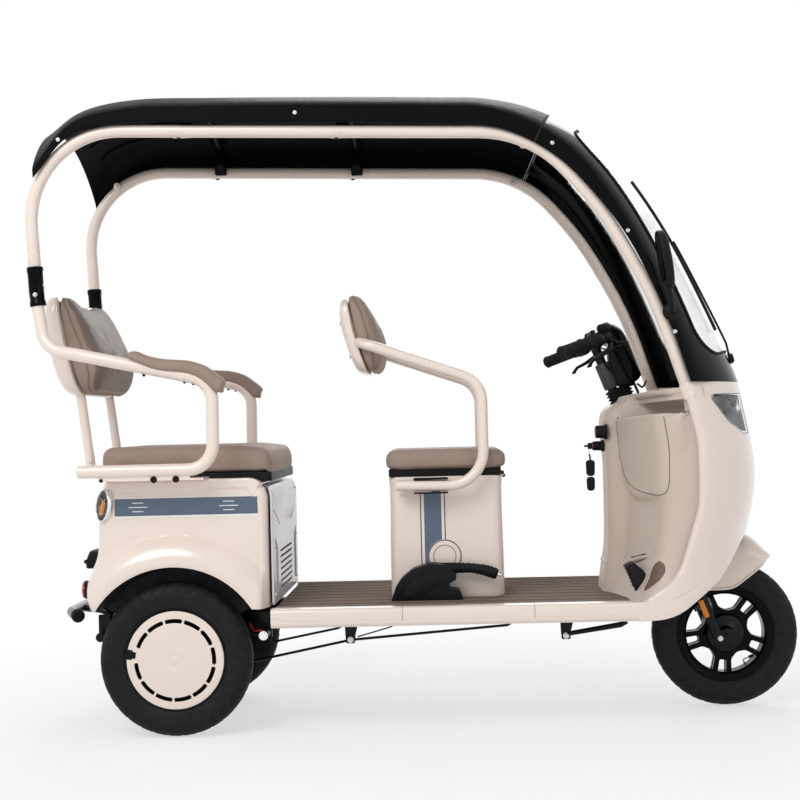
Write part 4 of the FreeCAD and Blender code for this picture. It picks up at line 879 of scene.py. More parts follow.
# ==== floor ====
def floor_mat():
    """Mat with ribs that run the length of the floor; every third groove is darker."""
    half, pitch = COWL_HALF - 34.6, 26.0
    x0, x1 = FLOOR_REAR + 8, F - 300
    section = [(-half, DECK_TOP + 0.5), (-half, FLOOR_TOP - 2.5), (-half + 2.5, FLOOR_TOP)]
    y = -half + 12
    while y < half - 16:
        section += [(y, FLOOR_TOP), (y + 1.5, FLOOR_TOP - 4.5), (y + 8.5, FLOOR_TOP - 4.5), (y + 10, FLOOR_TOP)]
        y += pitch
    section += [(half - 2.5, FLOOR_TOP), (half, FLOOR_TOP - 2.5), (half, DECK_TOP + 0.5)]
    rows = [[(x0 + (x1 - x0) * share, y, z) for y, z in section] for share in (0, 0.35, 0.7, 1)]
    verts, faces = grid(rows, True)
    ob = mesh("floor_mat_ribs", verts, faces + caps(rows), "taupe_dark", nodes=("floor_mat",), slot="taupe_mat",
              angle=25)
    ob.data.materials.append(M["mat_line"])
    for face in ob.data.polygons:
        if face.normal.z > 0.7 and int((face.center.y / MM + half) / pitch) % 3 == 0:
            face.material_index = 1


def sill(side):
    """Rounded sill down one side of the floor, with its joint lines."""
    half, low = COWL_HALF + 0.8, FLOOR_LOW - 0.8
    x0, x1 = FLOOR_REAR, F - 280
    section = rounded([(-half + 36.8, FLOOR_TOP + 1.5, 0), (-half, FLOOR_TOP + 1.0, 12), (-half, low, 24),
                       (-half + 44.8, low, 0)], False, 8)
    section = [(-side * p.x, p.y) for p in section]
    rows = []
    for x in [x0 + (x1 - x0) * k / 30 for k in range(31)]:
        lift = 0.62 * step(x0 + 46, x0, x)
        rows.append([(x, y, z + lift * max(0.0, FLOOR_TOP - 14 - z)) for y, z in section])
    skin("sill_" + tag(side), rows, "cream", thick=0.6, offset=0, angle=50)
    pieces = [tube("joint", [(x, y + side * 0.1, z) for y, z in section[:-6]], 0.7, "brown", 6, "flat")
              for x in (x0 + 350, x0 + 700)]
    merge("sill_joints_" + tag(side), pieces)


floor_mat()
for side in SIDES:
    sill(side)


# ==== driver's pedestal ====
def waist(z):
    return 1.0 + 2.0 * step(420, 600, z) * step(672, 640, z)


def badge(centre, side):
    """Plain round ornament: two rings."""
    def spot(radius, a):
        return centre + polar(radius, a, side * 2.2)
    lathe("badge_" + tag(side), [(47, 0.0), (47, 1.4), (46, 2.0), (45, 2.2), (0, 2.2)], centre, "cream",
          aim=(0, side, 0), count=64)
    pieces = [tube("badge_ring", [spot(radius, radians(t)) for t in range(0, 361, 6)], size, "navy", 6, "flat")
              for radius, size in ((45.0, 1.6), (31.0, 1.0))]
    merge("badge_marks_" + tag(side), pieces)


def pedestal():
    """Moulded pedestal with soft corners, a slightly waisted side, stripes and an ornament."""
    low, high = span("driver_pedestal")
    x0, x1, top, half = low.x, high.x - 12.0, high.z, PEDESTAL_HALF
    base = FLOOR_TOP + 0.6
    extra = {base: 2.0, FLOOR_TOP + 3: 0.6, top - 1.2: 1.0, top: 3.0}
    rows = []
    for z in [base, FLOOR_TOP + 3, FLOOR_TOP + 12, 380, 420, 460, 500, 540, 580, 610, 632, 644, 652, 660, 668, top - 4,
              top - 1.2, top]:
        inset = waist(z) + extra.get(z, 0.0)
        rows.append([(x, y, z) for x, y in plate(x0 + inset, x1 - inset, -half + inset, half - inset, 30, 10)])
    rows += [[(x, y, z) for x, y in plate(x0 + 22, x1 - 22, -half + 22, half - 22, 20, 10)] for z in (top, top - 20)]
    skin("pedestal_skin", rows, "cream", True, nodes=("driver_pedestal",), slot="cream_body", thick=3.0)
    pieces = []
    for side in SIDES:
        for a, b, material, lift in ((672, 720, "blue", 0.25), (667, 670.5, "white", 0.3), (721.5, 724.5, "white", 0.3),
                                     (661, 664, "navy", 0.2), (728, 731, "navy", 0.2)):
            rows = [[(R + x, side * (half - waist(z) + lift), z) for x in (a, (a + b) / 2, b)]
                    for z in [350 + 302 * k / 20 for k in range(21)]]
            pieces.append(skin("stripe", rows, material, thick=0.5, offset=0))
    merge("pedestal_stripes", pieces)
    for side in SIDES:
        badge(Vector((R + 727, side * (half - 1.4), 455)), side)


PEDESTAL_HALF = span("driver_pedestal")[1].y
pedestal()


# ==== cushions ====
def inflate(ob, voxel, swell, body="chassis"):
    """Blow a pad up with simulated cloth, with a cap on how far it swells."""
    modify(ob, "REMESH", mode="VOXEL", voxel_size=voxel * MM)
    bake(ob)
    rest = [v.co.copy() for v in ob.data.vertices]
    cloth = ob.modifiers.new("cloth", "CLOTH").settings
    cloth.use_pressure = True
    cloth.uniform_pressure_force = 4.0
    cloth.effector_weights.gravity = 0.0
    cloth.quality = 4
    cloth.tension_stiffness = cloth.compression_stiffness = 22
    cloth.bending_stiffness = 0.6
    scene = bpy.context.scene
    for number in range(1, 17):
        scene.frame_set(number)
    bake(ob)
    scene.frame_set(1)
    cap = swell * MM
    for v, old in zip(ob.data.vertices, rest):
        move = v.co - old
        if move.length > cap:
            v.co = old + move.normalized() * cap
    modify(ob, "SMOOTH", factor=0.5, iterations=4)
    bake(ob)
    ob.data.materials.clear()
    dress(ob, "taupe", body)


def fine(outline, pitch=12.0, stretch=1.0):
    """Outline with points no further apart than the pitch; its second value is weighed by the stretch."""
    points = []
    for (a0, b0), (a1, b1) in zip(outline, outline[1:] + outline[:1]):
        n = max(1, int(hypot(a1 - a0, (b1 - b0) * stretch) / pitch))
        points += [(a0 + (a1 - a0) * i / n, b0 + (b1 - b0) * i / n) for i in range(n)]
    return points


def shaped(name, place, outline, profile, material, **kw):
    """Closed solid of outlines drawn in step by step; the profile is inset and place across its depth."""
    (a0, a1), (b0, b1) = ((min(values), max(values)) for values in zip(*outline))
    ca, cb = (a0 + a1) / 2, (b0 + b1) / 2
    rows = [[place(ca + (a - ca) * (1 - inset / (a1 - ca)), cb + (b - cb) * (1 - inset / (b1 - cb)), depth)
             for a, b in outline] for inset, depth in profile]
    verts, faces = grid(rows, True)
    return mesh(name, verts, faces + caps(rows), material, **kw)


def pillow(name, place, outline, profile, voxel, fill, body="chassis", **kw):
    """Stuffed pad, simulated under pressure."""
    ob = shaped(name, place, outline, profile, "taupe", body=body, slot="taupe_leather", **kw)
    inflate(ob, voxel, 4.0, body)
    return ob


def seat(name, sag, grow_rear, grow_front, drop, radius, lip):
    """Seat cushion with a sloping front; its front edge may hang down before the base as a lip."""
    node = name + "_cushion"
    low, high = span(node)
    x0, x1, half, z0, z1 = low.x - grow_rear, high.x + grow_front, high.y, low.z, high.z - drop
    cx, long, deep, inset = (x0 + x1) / 2, (x1 - x0) / 2, z1 - z0, 2.5
    outline = fine(plate(-half + inset, half - inset, -long + inset, long - inset, radius, 12))
    rim = [(half * 0.8, 2), (half * 0.4, 2), (24, 2), (6, 2.5), (1.5, 6), (0, 12), (0, deep * 0.42), (0, deep * 0.62),
           (1.5, deep - 20), (6, deep - 10), (16, deep - 4.0), (40, deep - 2), (half * 0.45, deep - 1.5),
           (half * 0.8, deep - 1.5)]
    pad = pillow(name, lambda a, b, c: Vector((cx + b, -a, c)), [(-a, b) for a, b in outline],
                 [(a, z0 + b) for a, b in rim], 5.0, 0.9, body=name, nodes=(node,))
    for v in pad.data.vertices:
        along = v.co.x / MM - cx
        v.co.z -= sag * step(long - 130, long, along) * 0.8 * MM * max(0.0, (v.co.z / MM - z0) / deep)
        share = min(1.0, max(0.0, (z1 - v.co.z / MM) / deep))
        v.co.z -= lip * step(long - 20, long - 8, along) * MM * share
        if along < long - 20:
            v.co.z = max(v.co.z, z0 * MM)
        v.co.z = min(v.co.z, z1 * MM)


def edge_curve(rows):
    """x at a height, from rows of height and x, carried straight on beyond the ends."""
    def at(z):
        if rows[0][0] <= z <= rows[-1][0]:
            return curve_at(rows, z)[0]
        (z0, x0), (z1, x1) = rows[:2] if z < rows[0][0] else rows[-2:]
        return x0 + (x1 - x0) * (z - z0) / (z1 - z0)
    return at


def backrest(which, axle, half, low, high, drop, rear, joint, front, radius, nodes, screws):
    """Moulded shell with a stuffed pad let into its front."""
    rear_x, joint_x, front_x = edge_curve(rear), edge_curve(joint), edge_curve(front)
    middle = (low + high) / 2

    def ears(a, b):
        return b + (14.0 * step(0.3, 0.85, abs(a) / half) - 4.0) * step(low + (high - low) * 0.5, high, b)

    def shell_place(a, b, c):
        return Vector((axle + rear_x(b) + (joint_x(b) - rear_x(b)) * c, a,
                       ears(a, b) - drop * step(low + (high - low) * 0.4, high, b)))

    def pad_place(a, b, c):
        return Vector((axle + joint_x(b) + (front_x(b) - joint_x(b)) * c, a, ears(a, b)))

    def outline(side, bottom, top, turn, top_turn):
        return fine(flat([(-side, bottom, turn), (side, bottom, turn), (side, top, top_turn),
                          (-side, top, top_turn)], 12))
    shaped(which + "_back_cover", shell_place, outline(half, low, high, radius, radius * 0.8),
           [(90, 0.02), (60, 0.03), (30, 0.08), (14, 0.17), (6, 0.32), (1.5, 0.55), (0, 0.8), (1.2, 0.96), (5, 1.0)],
           "cream", nodes=nodes[:1], slot="cream_body", angle=55)
    pad_outline = outline(half - 5, low + 4, high - 3, radius - 4, radius * 0.75)
    rim = [(half * 0.8, 0.03), (half * 0.4, 0.03), (20, 0.03), (3, 0.04), (0, 0.1), (0, 0.3), (0.5, 0.48), (3, 0.62),
           (9, 0.73), (22, 0.82), (44, 0.89), (70, 0.94), (half * 0.5, 0.975), (half * 0.8, 0.99)]
    pad = pillow(which + "_back_cushion", pad_place, pad_outline, rim, 4.5, 0.85, nodes=nodes[1:])
    line = []
    for a, b in pad_outline:
        hit, where, normal, face = pad.closest_point_on_mesh(pad_place(a * 1.3, middle + (b - middle) * 1.3, 0.62) * MM)
        line.append(where / MM + normal * 0.6)
    for _ in range(2):
        line = [(line[k - 1] + line[k] * 2 + line[(k + 1) % len(line)]) / 4 for k in range(len(line))]
    tube(which + "_back_piping", line + line[:2], 2.4, "piping", 8, "flat", slot="taupe_leather")
    # The rear pad's forward-facing faces take the darker leather: painted shade.
    if which == "rear":
        pad.data.materials.append(M["taupe_painted_shade"])
        for face in pad.data.polygons:
            spot = face.center / MM
            if spot.x > pad_place(0.0, spot.z, 0.66).x and abs(spot.y) < half - 12 and low + 16 < spot.z:
                face.material_index = 1
    merge(which + "_back_screws", [screw("back_screw", shell_place(a, b, 0.03), (-1, 0, -0.25), "black", 5.5)
                                   for a, b in screws])


def armrest(side):
    """Stuffed pad wrapped over the arm's top, its front end turned down."""
    y, count, runs = span("armrest_pads")[1].y - 30.0, 28, 60
    line = [(-95, 1024, 24, 9), (-84, 1024, 27, 12), (-58, 1012, 28, 12), (-30, 1002, 28, 13.5), (5, 995, 28, 14.5),
            (36, 992, 28, 15), (70, 987, 28, 16), (100, 975, 28, 18), (124, 956, 28, 19), (142, 940, 28, 20),
            (149, 933, 27, 17), (153, 929, 22, 11)]      # x from the axle, z, half width, half depth
    rows = []
    for k in range(runs + 1):
        t = line[0][0] + (line[-1][0] - line[0][0]) * k / runs
        z, wide, deep = curve_at(line, t)
        up = Vector((-(curve_at(line, t + 1)[0] - z), 0, 1)).normalized()
        row = []
        for a in [2 * pi * j / count for j in range(count)]:
            c, s = cos(a), sin(a)
            across = wide * abs(c) ** 0.62 * (1 if c > 0 else -1)
            lift = deep * abs(s) ** 0.75 * (1 if s > 0 else -1)
            row.append(Vector((R + t, side * y + across, z)) + up * lift)
        rows.append(row)
    verts, faces = grid(rows, True)
    ob = mesh("armrest_" + tag(side), verts, faces + caps(rows), "taupe")
    inflate(ob, 4.0, 2.6)
    merge("armrest_screws_" + tag(side),
          [screw("arm_screw", (R + t, side * y, curve_at(line, t)[0] - 34), (0, 0, -1), "black", 4.5, 10.0)
           for t in (-57, 51, 74)])
    return ob


seat("rear_seat", 12, 23, 0, 0, 34, 19)
seat("driver_seat", 4, 7, 6, 6, 40, 0)
backrest("rear", R, span("back_pad")[1].y, 926, 1196, 2,
         [(924, -324), (990, -344), (1045, -358), (1110, -366), (1184, -372)],
         [(924, -268), (990, -290), (1050, -305), (1120, -319), (1193, -329)],
         [(936, -218), (964, -206), (1004, -200), (1045, -209), (1085, -227), (1130, -251), (1165, -272), (1200, -294)],
         62, ("back_shell", "back_pad"), ((-120, 1120), (120, 1120), (-120, 1010), (120, 1010)))
backrest("driver", 0.0, span("driver_back_pad")[1].y - 4, 969, 1186, 12,
         [(972, -183), (1013, -196), (1048, -206), (1084, -217), (1130, -225), (1184, -227)],
         [(972, -146), (1013, -161), (1048, -172), (1084, -183), (1130, -192), (1184, -200)],
         [(968, -108), (995, -101), (1030, -99), (1066, -104), (1109, -118), (1151, -138), (1187, -158)],
         56, ("driver_back_shell", "driver_back_pad"), ((-90, 1120), (90, 1120), (-90, 1020), (90, 1020)))
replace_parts(armrest(-1), "armrest_pads")
armrest(1)


def back_posts():
    """Cross bar under the backrest and its two bent posts."""
    half = span("back_frame")[1].y
    pieces = [tube("back_bar", [(R - 222, -half, 718), (R - 222, half, 718)], 13, "cream_tube", 32, "flat")]
    for side in SIDES:
        y = side * 180.0
        line = rounded([(R - 224, y, 716, 0), (R - 254, y, 722, 16), (R - 279, y, 925, 160), (R - 304, y, 1020, 0)],
                       False, 10)
        pieces.append(tube("back_post", line, 13, "cream_tube", 32))
        pieces.append(screw("post_bolt", (R - 254, y - 13, 742), (0, -1, 0)))
    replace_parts(merge("back_posts", pieces), "back_frame")


def bench_base():
    """Black tray under the rear cushion, set back from the cushion's front edge."""
    low, high = span("rear_seat_base")
    solid("rear_tray", plate(low.x, high.x - 17, low.y, high.y, 24, 8), low.z, high.z, "black", "z",
          body="rear_seat", nodes=("rear_seat_base",))


back_posts()
bench_base()


# ==== canopy ====
# Arches across the canopy: x, z of the tube there, lean in degrees, height of the shoulder, height of the crown.
ARCH_ROWS = [(R - 350, 1492, 93, 44, 196), (R - 250, 1602, 91, 50, 144), (R - 110, 1632, 90, 58, 138),
             (R + 100, 1627, 90, 66, 141), (R + 430, 1617, 90, 69, 143), (F - 775, 1605, 90, 70, 144),
             (F - 650, 1596, 86, 68, 146), (F - 535, 1548, 64, 66, 160), (F - 430, 1465, 46, 60, 166),
             (F - 305, 1301, 28, 42, 158), (F - 205, 1085, 18, 34, 170), (F - 149, 916, 12, 30, 193),
             (F - 137, 860, 9, 30, 200)]
ARCH_TABLE, run = [], 0.0
for before, row in zip(ARCH_ROWS[:1] + ARCH_ROWS, ARCH_ROWS):
    run += hypot(row[0] - before[0], row[1] - before[1])
    ARCH_TABLE.append((run,) + row)
ROOF_END = ARCH_TABLE[7][0]
CANOPY_END = ARCH_TABLE[-1][0]
ACROSS = [-1.35, -1.27, -1.18, -1.09, -1.03] + [-1 + k / 24 for k in range(49)] + [1.03, 1.09, 1.18, 1.27, 1.35]


def arch_at(run):
    """Middle point between the tubes, the way out from it, and how far out shoulder and crown lie."""
    x, z, lean, shoulder, crown = curve_at(ARCH_TABLE, run)
    return Vector((x, 0, z)), polar(1, radians(lean)), shoulder, crown


def arch_point(run, across, inset=0.0):
    """Point of the canopy's skin: across runs from -1.35 (right flange) over the crown to 1.35."""
    base, out, shoulder, crown = arch_at(run)
    half, rise = SHELL_HALF - inset, crown - shoulder
    if abs(across) > 1:
        down, top = (abs(across) - 1) / 0.35, shoulder - 4.2
        h = top + (CANOPY_R + 0.5 - shoulder + 4.2) * down
        return base + out * (h - (inset if down < 0.5 else 0)) + Vector((0, half * (1 if across > 0 else -1), 0))
    radius = (half * half + rise * rise) / (2 * rise)
    angle, bend = atan2(half, radius - rise) * across, 26.0
    h = crown - radius * (1 - cos(angle))
    near = (1 - abs(across)) * half
    if near < bend:                      # soften the corner over the flange
        h -= (bend - near) ** 2 / (2 * bend) * 0.32
    return base + out * (h - inset) + Vector((0, radius * sin(angle), 0))


def canopy_run(start, end, pitch=14.0):
    n = int((end - start) / pitch)
    return [start + (end - start) * k / n for k in range(n + 1)]


def canopy_skin():
    """Roof panel with rolled edges, and the glossy front shell."""
    rows = [[arch_point(run, a) for a in ACROSS] for run in canopy_run(0.0, ROOF_END - 3, 16.0)]
    skin("roof_panel", rows, "satin", nodes=("canopy_roof",), slot="black_plastic", thick=4.0, bevel=1.2, angle=50)
    start, ends = ROOF_END + 3, []
    for a in ACROSS:
        low, high = start, CANOPY_END
        for _ in range(24):              # where the shell meets the cowl's top
            middle = (low + high) / 2
            if arch_point(middle, a).z > COWL_TOP + 1.0:
                low = middle
            else:
                high = middle
        ends.append(low)
    rows = [[arch_point(start + (end - start) * k / 62, a) for a, end in zip(ACROSS, ends)] for k in range(63)]
    return skin("front_shell", rows, "gloss", nodes=("windscreen_frame",), slot="black_gloss", thick=4.5, bevel=1.2,
                angle=50)


WINDOW_LOW, WINDOW_HIGH, WINDOW_SIDE = ROOF_END + 66, CANOPY_END - 108, 0.82


def window(shell):
    """Clear windscreen set in the front shell, with its rubber."""
    side = WINDOW_SIDE * 340             # 340: share across to millimetres
    line = flat([(WINDOW_LOW, -side, 70), (WINDOW_HIGH, -side, 90), (WINDOW_HIGH, side, 90), (WINDOW_LOW, side, 70)],
                10)
    line = fine([(a, b / 340) for a, b in line], 16, 340)
    middle = (WINDOW_LOW + WINDOW_HIGH) / 2

    def ring(scale, lift):
        row = []
        for run, across in line:
            s, a = middle + (run - middle) * scale, across * scale
            p, q = arch_point(s, a), arch_point(s, a, 40.0)
            row.append(p + (p - q).normalized() * lift)
        return row
    scales = (0.02, 0.33, 0.66, 1.0)
    rows = [ring(s, 50) for s in scales] + [ring(s, -40) for s in scales[::-1]]
    verts, faces = grid(rows, True)
    boolean(shell, [raw("window_cut", verts, faces + caps(rows))], angle=50)
    verts, faces = grid([ring(s, -2.5) for s in (0.02, 0.2, 0.4, 0.6, 0.8, 0.995)], True)
    faces.append(tuple(range(len(line))))
    mesh("windscreen_pane", verts, faces, "glass", nodes=("windscreen",), slot="clear_screen", thick=3.0)
    path = ring(1.0, 0.4)
    tube("windscreen_seal", path + path[:2], 4.2, "rubber", 10, "flat", slot="black_rubber")


def wiper():
    """Wiper arm and blade on the windscreen."""
    run0, run1 = WINDOW_HIGH + 20, WINDOW_LOW + 250
    tube("wiper_blade", [arch_point(WINDOW_HIGH - 60 - k * 30, -0.42 + 0.012 * k, -7.0) for k in range(15)], 4.5,
         "rubber", 8)
    arm = [arch_point(run0 - (run0 - run1) * k / 10, -0.2 - 0.016 * k, -13.0 if k else -4.0) for k in range(9)]
    tube("wiper_arm", arm, 3.2, "black", 8)
    foot = arch_point(run0, -0.2)
    lathe("wiper_hub", [(15, 0), (15, 8), (11, 15), (0, 16)], foot, "black", aim=arch_point(run0, -0.2, -10) - foot,
          count=24)


window(canopy_skin())
wiper()


def roof_details():
    """Underside ribs, straps with their clips, cream clips and brackets, edge screws and the roof's joint."""
    pieces = []
    for a, start, stop in ((0.18, 40, 560), (0.42, 56, ROOF_END - 60), (0.66, 76, ROOF_END - 50)):
        for side in SIDES:
            line = [arch_point(run, side * a, 6.2) for run in canopy_run(start, stop, 34.0)]
            pieces.append(tube("groove", line, 3.6, "gloss", 8))
    for run in (430, 900, 1330):
        pieces.append(tube("rib", [arch_point(run, -0.9 + 1.8 * k / 20, 6.0) for k in range(21)], 4.0, "satin", 8))
    merge("roof_ribs", pieces)
    pieces = []
    for x, z in ((R + 55, 1629), (R + 480, 1616)):
        for side in SIDES:
            y = side * CANOPY_HALF
            low, high = sorted((y - side * 38, y - side * 20))
            block = prism("clip", plate(x - 18, x + 18, z - 14, z + 70, 5), low, high)
            add_bevel(block, 3.0)
            bake(block)
            pieces.append(dress(block, "gloss"))
            pieces.append(tube("clip_strap", [(x, y - side * 30, z + 62), (x, y - side * 120, z + 84),
                                              (x, side * 120, z + 112), (x, 0, z + 118)], 6.0, "black", 8))
    merge("roof_straps", pieces)
    pieces = []
    for x, z in ((R + 40, 1629), (R + 465, 1616)):
        for side in SIDES:
            y = side * CANOPY_HALF
            turns = [radians(t) for t in range(-160, 21, 12)]
            rows = [[(x + wide, y + (CANOPY_R + 2.0) * cos(t), z + (CANOPY_R + 2.0) * sin(t)) for t in turns]
                    for wide in (-15, 15)]
            pieces.append(skin("clip_plate", rows, "cream_tube", thick=2.0, offset=0))
            pieces.append(screw("clip_screw", (x, y, z - CANOPY_R - 2.5), (0, 0, -1), "black", 6.0, 3.0))
    merge("roof_clips", pieces)
    pieces = []
    for run in (110, 760, ROOF_END + 40, ROOF_END + 330, ROOF_END + 620):
        base, out, shoulder, crown = arch_at(run)
        for side in SIDES:
            spot = base + Vector((0, side * (SHELL_HALF + 0.2), 0)) + out * (shoulder * 0.62)
            pieces.append(screw("roof_screw", spot, (0, side, 0), "zinc", 6.0, 3.0))
    merge("roof_screws", pieces)
    tube("roof_joint", [arch_point(ROOF_END, a, 2.0) for a in ACROSS], 3.2, "rubber", 8, "flat")
    pieces = []
    for run in (118, ROOF_END - 26):
        base, out, shoulder, crown = arch_at(run)
        for side in SIDES:
            centre = base + Vector((0, side * (CANOPY_HALF - CANOPY_R - 4), 0)) + out * 8
            pieces.append(lathe("bracket", [(11, -2), (11, 2), (9.5, 3.4), (0, 3.4)], centre, "cream_tube",
                                aim=(0, -side, 0), count=24))
            pieces.append(screw("bracket_bolt", centre + Vector((0, -side * 3.4, 0)), (0, -side, 0)))
    merge("canopy_brackets", pieces)


def canopy_tubes():
    pieces = []
    for side in SIDES:
        y = side * CANOPY_HALF
        line = rounded([(R - 353, y, 1183, 0), (R - 376, y, 1641, 235), (F - 535, y, 1597, 350),
                        (F - 351, y, 1388, 900), (F - 218, y, 1150, 1200), (F - 132, y, 884, 0)], False, 14)
        pieces.append(tube("canopy_tube", line, CANOPY_R, "cream_tube", 40))
        pieces.append(tube("canopy_collar", [(F - 142, y, 914), (F - 141, y, 911), (F - 134, y, 890), (F - 132, y, 884),
                                             (F - 130, y, 878)], [17.3, 19.0, 19.5, 21, 20], "cream_tube", 36))
    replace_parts(merge("canopy_tubes", pieces), "canopy_frame")


roof_details()
canopy_tubes()


# ==== mirrors ====
def mirror(side):
    """Round-backed mirror on its stalk."""
    centre, tilt, count = Vector((F - 196, side * 418, 1238)), radians(9), 48
    back, up = polar(1, tilt), Vector((-sin(tilt), 0, cos(tilt)))

    def at(a, b, c):
        return centre + Vector((0, side, 0)) * a + up * b + back * c
    outline = []
    for t in [2 * pi * k / count for k in range(count)]:
        c, s = cos(t), sin(t)
        outline.append((54 * abs(c) ** 0.9 * (1 if c > 0 else -1) * (1 + 0.06 * s),
                        78 * abs(s) ** 0.92 * (1 if s > 0 else -1)))
    rows = [[at(a * (1 - inset / 54), b * (1 - inset / (54 if inset < 30 else 60)), depth) for a, b in outline]
            for inset, depth in ((4.5, -12.4), (2.4, -13), (0.4, -12), (0, -10), (0, 2), (2, 6.5), (8, 10.2),
                                 (20, 12.4), (38, 13), (53, 13))]
    verts, faces = grid(rows, True)
    body = mesh("mirror_" + tag(side), verts, faces + caps(rows)[1:], "black", angle=60, slot="black_plastic")
    verts, faces = grid([[at(a * s, b * s, -11.0) for a, b in outline] for s in (0.03, 0.5, 0.93)], True)
    faces.append(tuple(range(count)))
    mesh("mirror_glass_" + tag(side), verts, faces, "chrome", thick=1.0, offset=0)
    foot = Vector((F - 178, side * (SHELL_HALF + 0.3), 1104))
    path = rounded([(*foot, 0), (foot.x, foot.y + side * 34, foot.z, 20),
                    (centre.x + 2, centre.y + side * 14, centre.z - 66, 0)], False, 10)
    tube("mirror_stalk_" + tag(side), path, 7.5, "black")
    lathe("mirror_foot_" + tag(side), [(24, 0), (24, 4), (20, 9), (13, 15), (9, 17)], foot, "black", aim=(0, side, 0),
          count=32)
    lathe("mirror_collar_" + tag(side), [(11, 0), (11, 9), (8, 11)], path[-1] - Vector((0, 0, 3)), "black",
          aim=path[-1] - path[-2], count=20)
    return body


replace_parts(mirror(-1), "mirrors")
mirror(1)


# ==== clamps between tubes and arms ====
def sleeve(side):
    """Black clamp sleeve with chrome nuts where the canopy tube meets the arm."""
    y = side * CANOPY_HALF
    low, bend, high = Vector((R - 349.5, y, 1166)), Vector((R - 354, y, 1206)), Vector((R - 357.5, y, 1272))
    line, radii = [], []
    for start, end, sizes in (
            (low, bend, ((0, 18.2), (0.001, 20.6), (0.03, 22), (0.3, 22), (0.36, 20.4), (0.97, 20.4))),
            (bend, high, ((0.03, 20.4), (0.74, 20.4), (0.79, 22), (0.975, 22), (0.999, 20.6), (1, 18.2)))):
        line += [start.lerp(end, share) for share, size in sizes]
        radii += [size for share, size in sizes]
    ob = tube("sleeve_" + tag(side), line, radii, "gloss", 40, "flat", slot="black_plastic")
    spot = low.lerp(bend, 0.75)
    pieces = [hexbolt("nut", spot + Vector((0, out * 19.4, 0)), (0, out, 0), "zinc", 5.0, 4.0) for out in (side, -side)]
    pieces += [hexbolt("nut", bend.lerp(high, lift) + Vector((19, 0, 0)), (1, 0, 0), "zinc", 4.0, 3.0)
               for lift in (0.25, 0.8)]
    merge("sleeve_nuts_" + tag(side), pieces)
    return ob


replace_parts(sleeve(-1), "canopy_sleeves")
sleeve(1)


# ==== front cowl ====
NOSE_TABLE = [(280.0, 30.0), (400.0, 42.0), (500.0, 58.0), (585.0, 78.0), (670.0, 87.0), (COWL_TOP - 162, 78.0),
              (COWL_TOP + 2, 46.0)]
SWEEP = 256.0                # how far back the nose's plan ellipse reaches
PLAN_RUN = 520.0             # run round that ellipse, from the side to the middle
LAMP_OUTLINE = flat([(-84, COWL_TOP - 33, 10), (120, COWL_TOP - 27, 0), (120, COWL_TOP - 138, 0),
                     (30, COWL_TOP - 142, 14), (-22, COWL_TOP - 108, 46)], 10)


def nose_at(z):
    return curve_at(NOSE_TABLE, z)[0]


def run_of(x, z):
    """Run round the cowl from where its side starts to curve, for a side-view point."""
    straight = x - (nose_at(z) - SWEEP)
    if straight <= 0:
        return straight
    share = min(1.0, straight / SWEEP)
    return PLAN_RUN * atan2(share, sqrt(max(0.0, 1 - share * share))) / (pi / 2)


def cowl_point(run, z, side=-1, inset=0.0):
    """Point of the cowl's skin; the run goes from its side round to its nose."""
    start = F + nose_at(z) - SWEEP
    if run <= 0:
        return Vector((start + run, side * (COWL_HALF - inset), z))
    turn = run / PLAN_RUN * pi / 2
    nx, ny = sin(turn) * COWL_HALF, cos(turn) * SWEEP
    size = hypot(nx, ny)
    y = COWL_HALF * cos(turn) - inset * ny / size
    return Vector((start + SWEEP * sin(turn) - inset * nx / size, side * y, z))


def cowl_half(x, z):
    """Half width of the cowl at a side-view point."""
    return cowl_point(run_of(x, z), z, 1).y


def evened(points, count):
    """The same line with evenly spaced points."""
    lengths = [0.0]
    for a, b in zip(points, points[1:]):
        lengths.append(lengths[-1] + hypot(b[0] - a[0], b[1] - a[1]))
    result, k = [], 0
    for want in [lengths[-1] * i / count for i in range(count + 1)]:
        while k < len(points) - 2 and lengths[k + 1] < want:
            k += 1
        u = (want - lengths[k]) / max(1e-9, lengths[k + 1] - lengths[k])
        result.append(tuple(a + (b - a) * u for a, b in zip(points[k], points[k + 1])))
    return result


def edge_runs(corners, count):
    """Run and height of points along a rounded side-view line."""
    line = [(p.x, p.y) for p in rounded(corners, False, 12)]
    return [(run_of(x, z), z) for x, z in evened(line, count)]


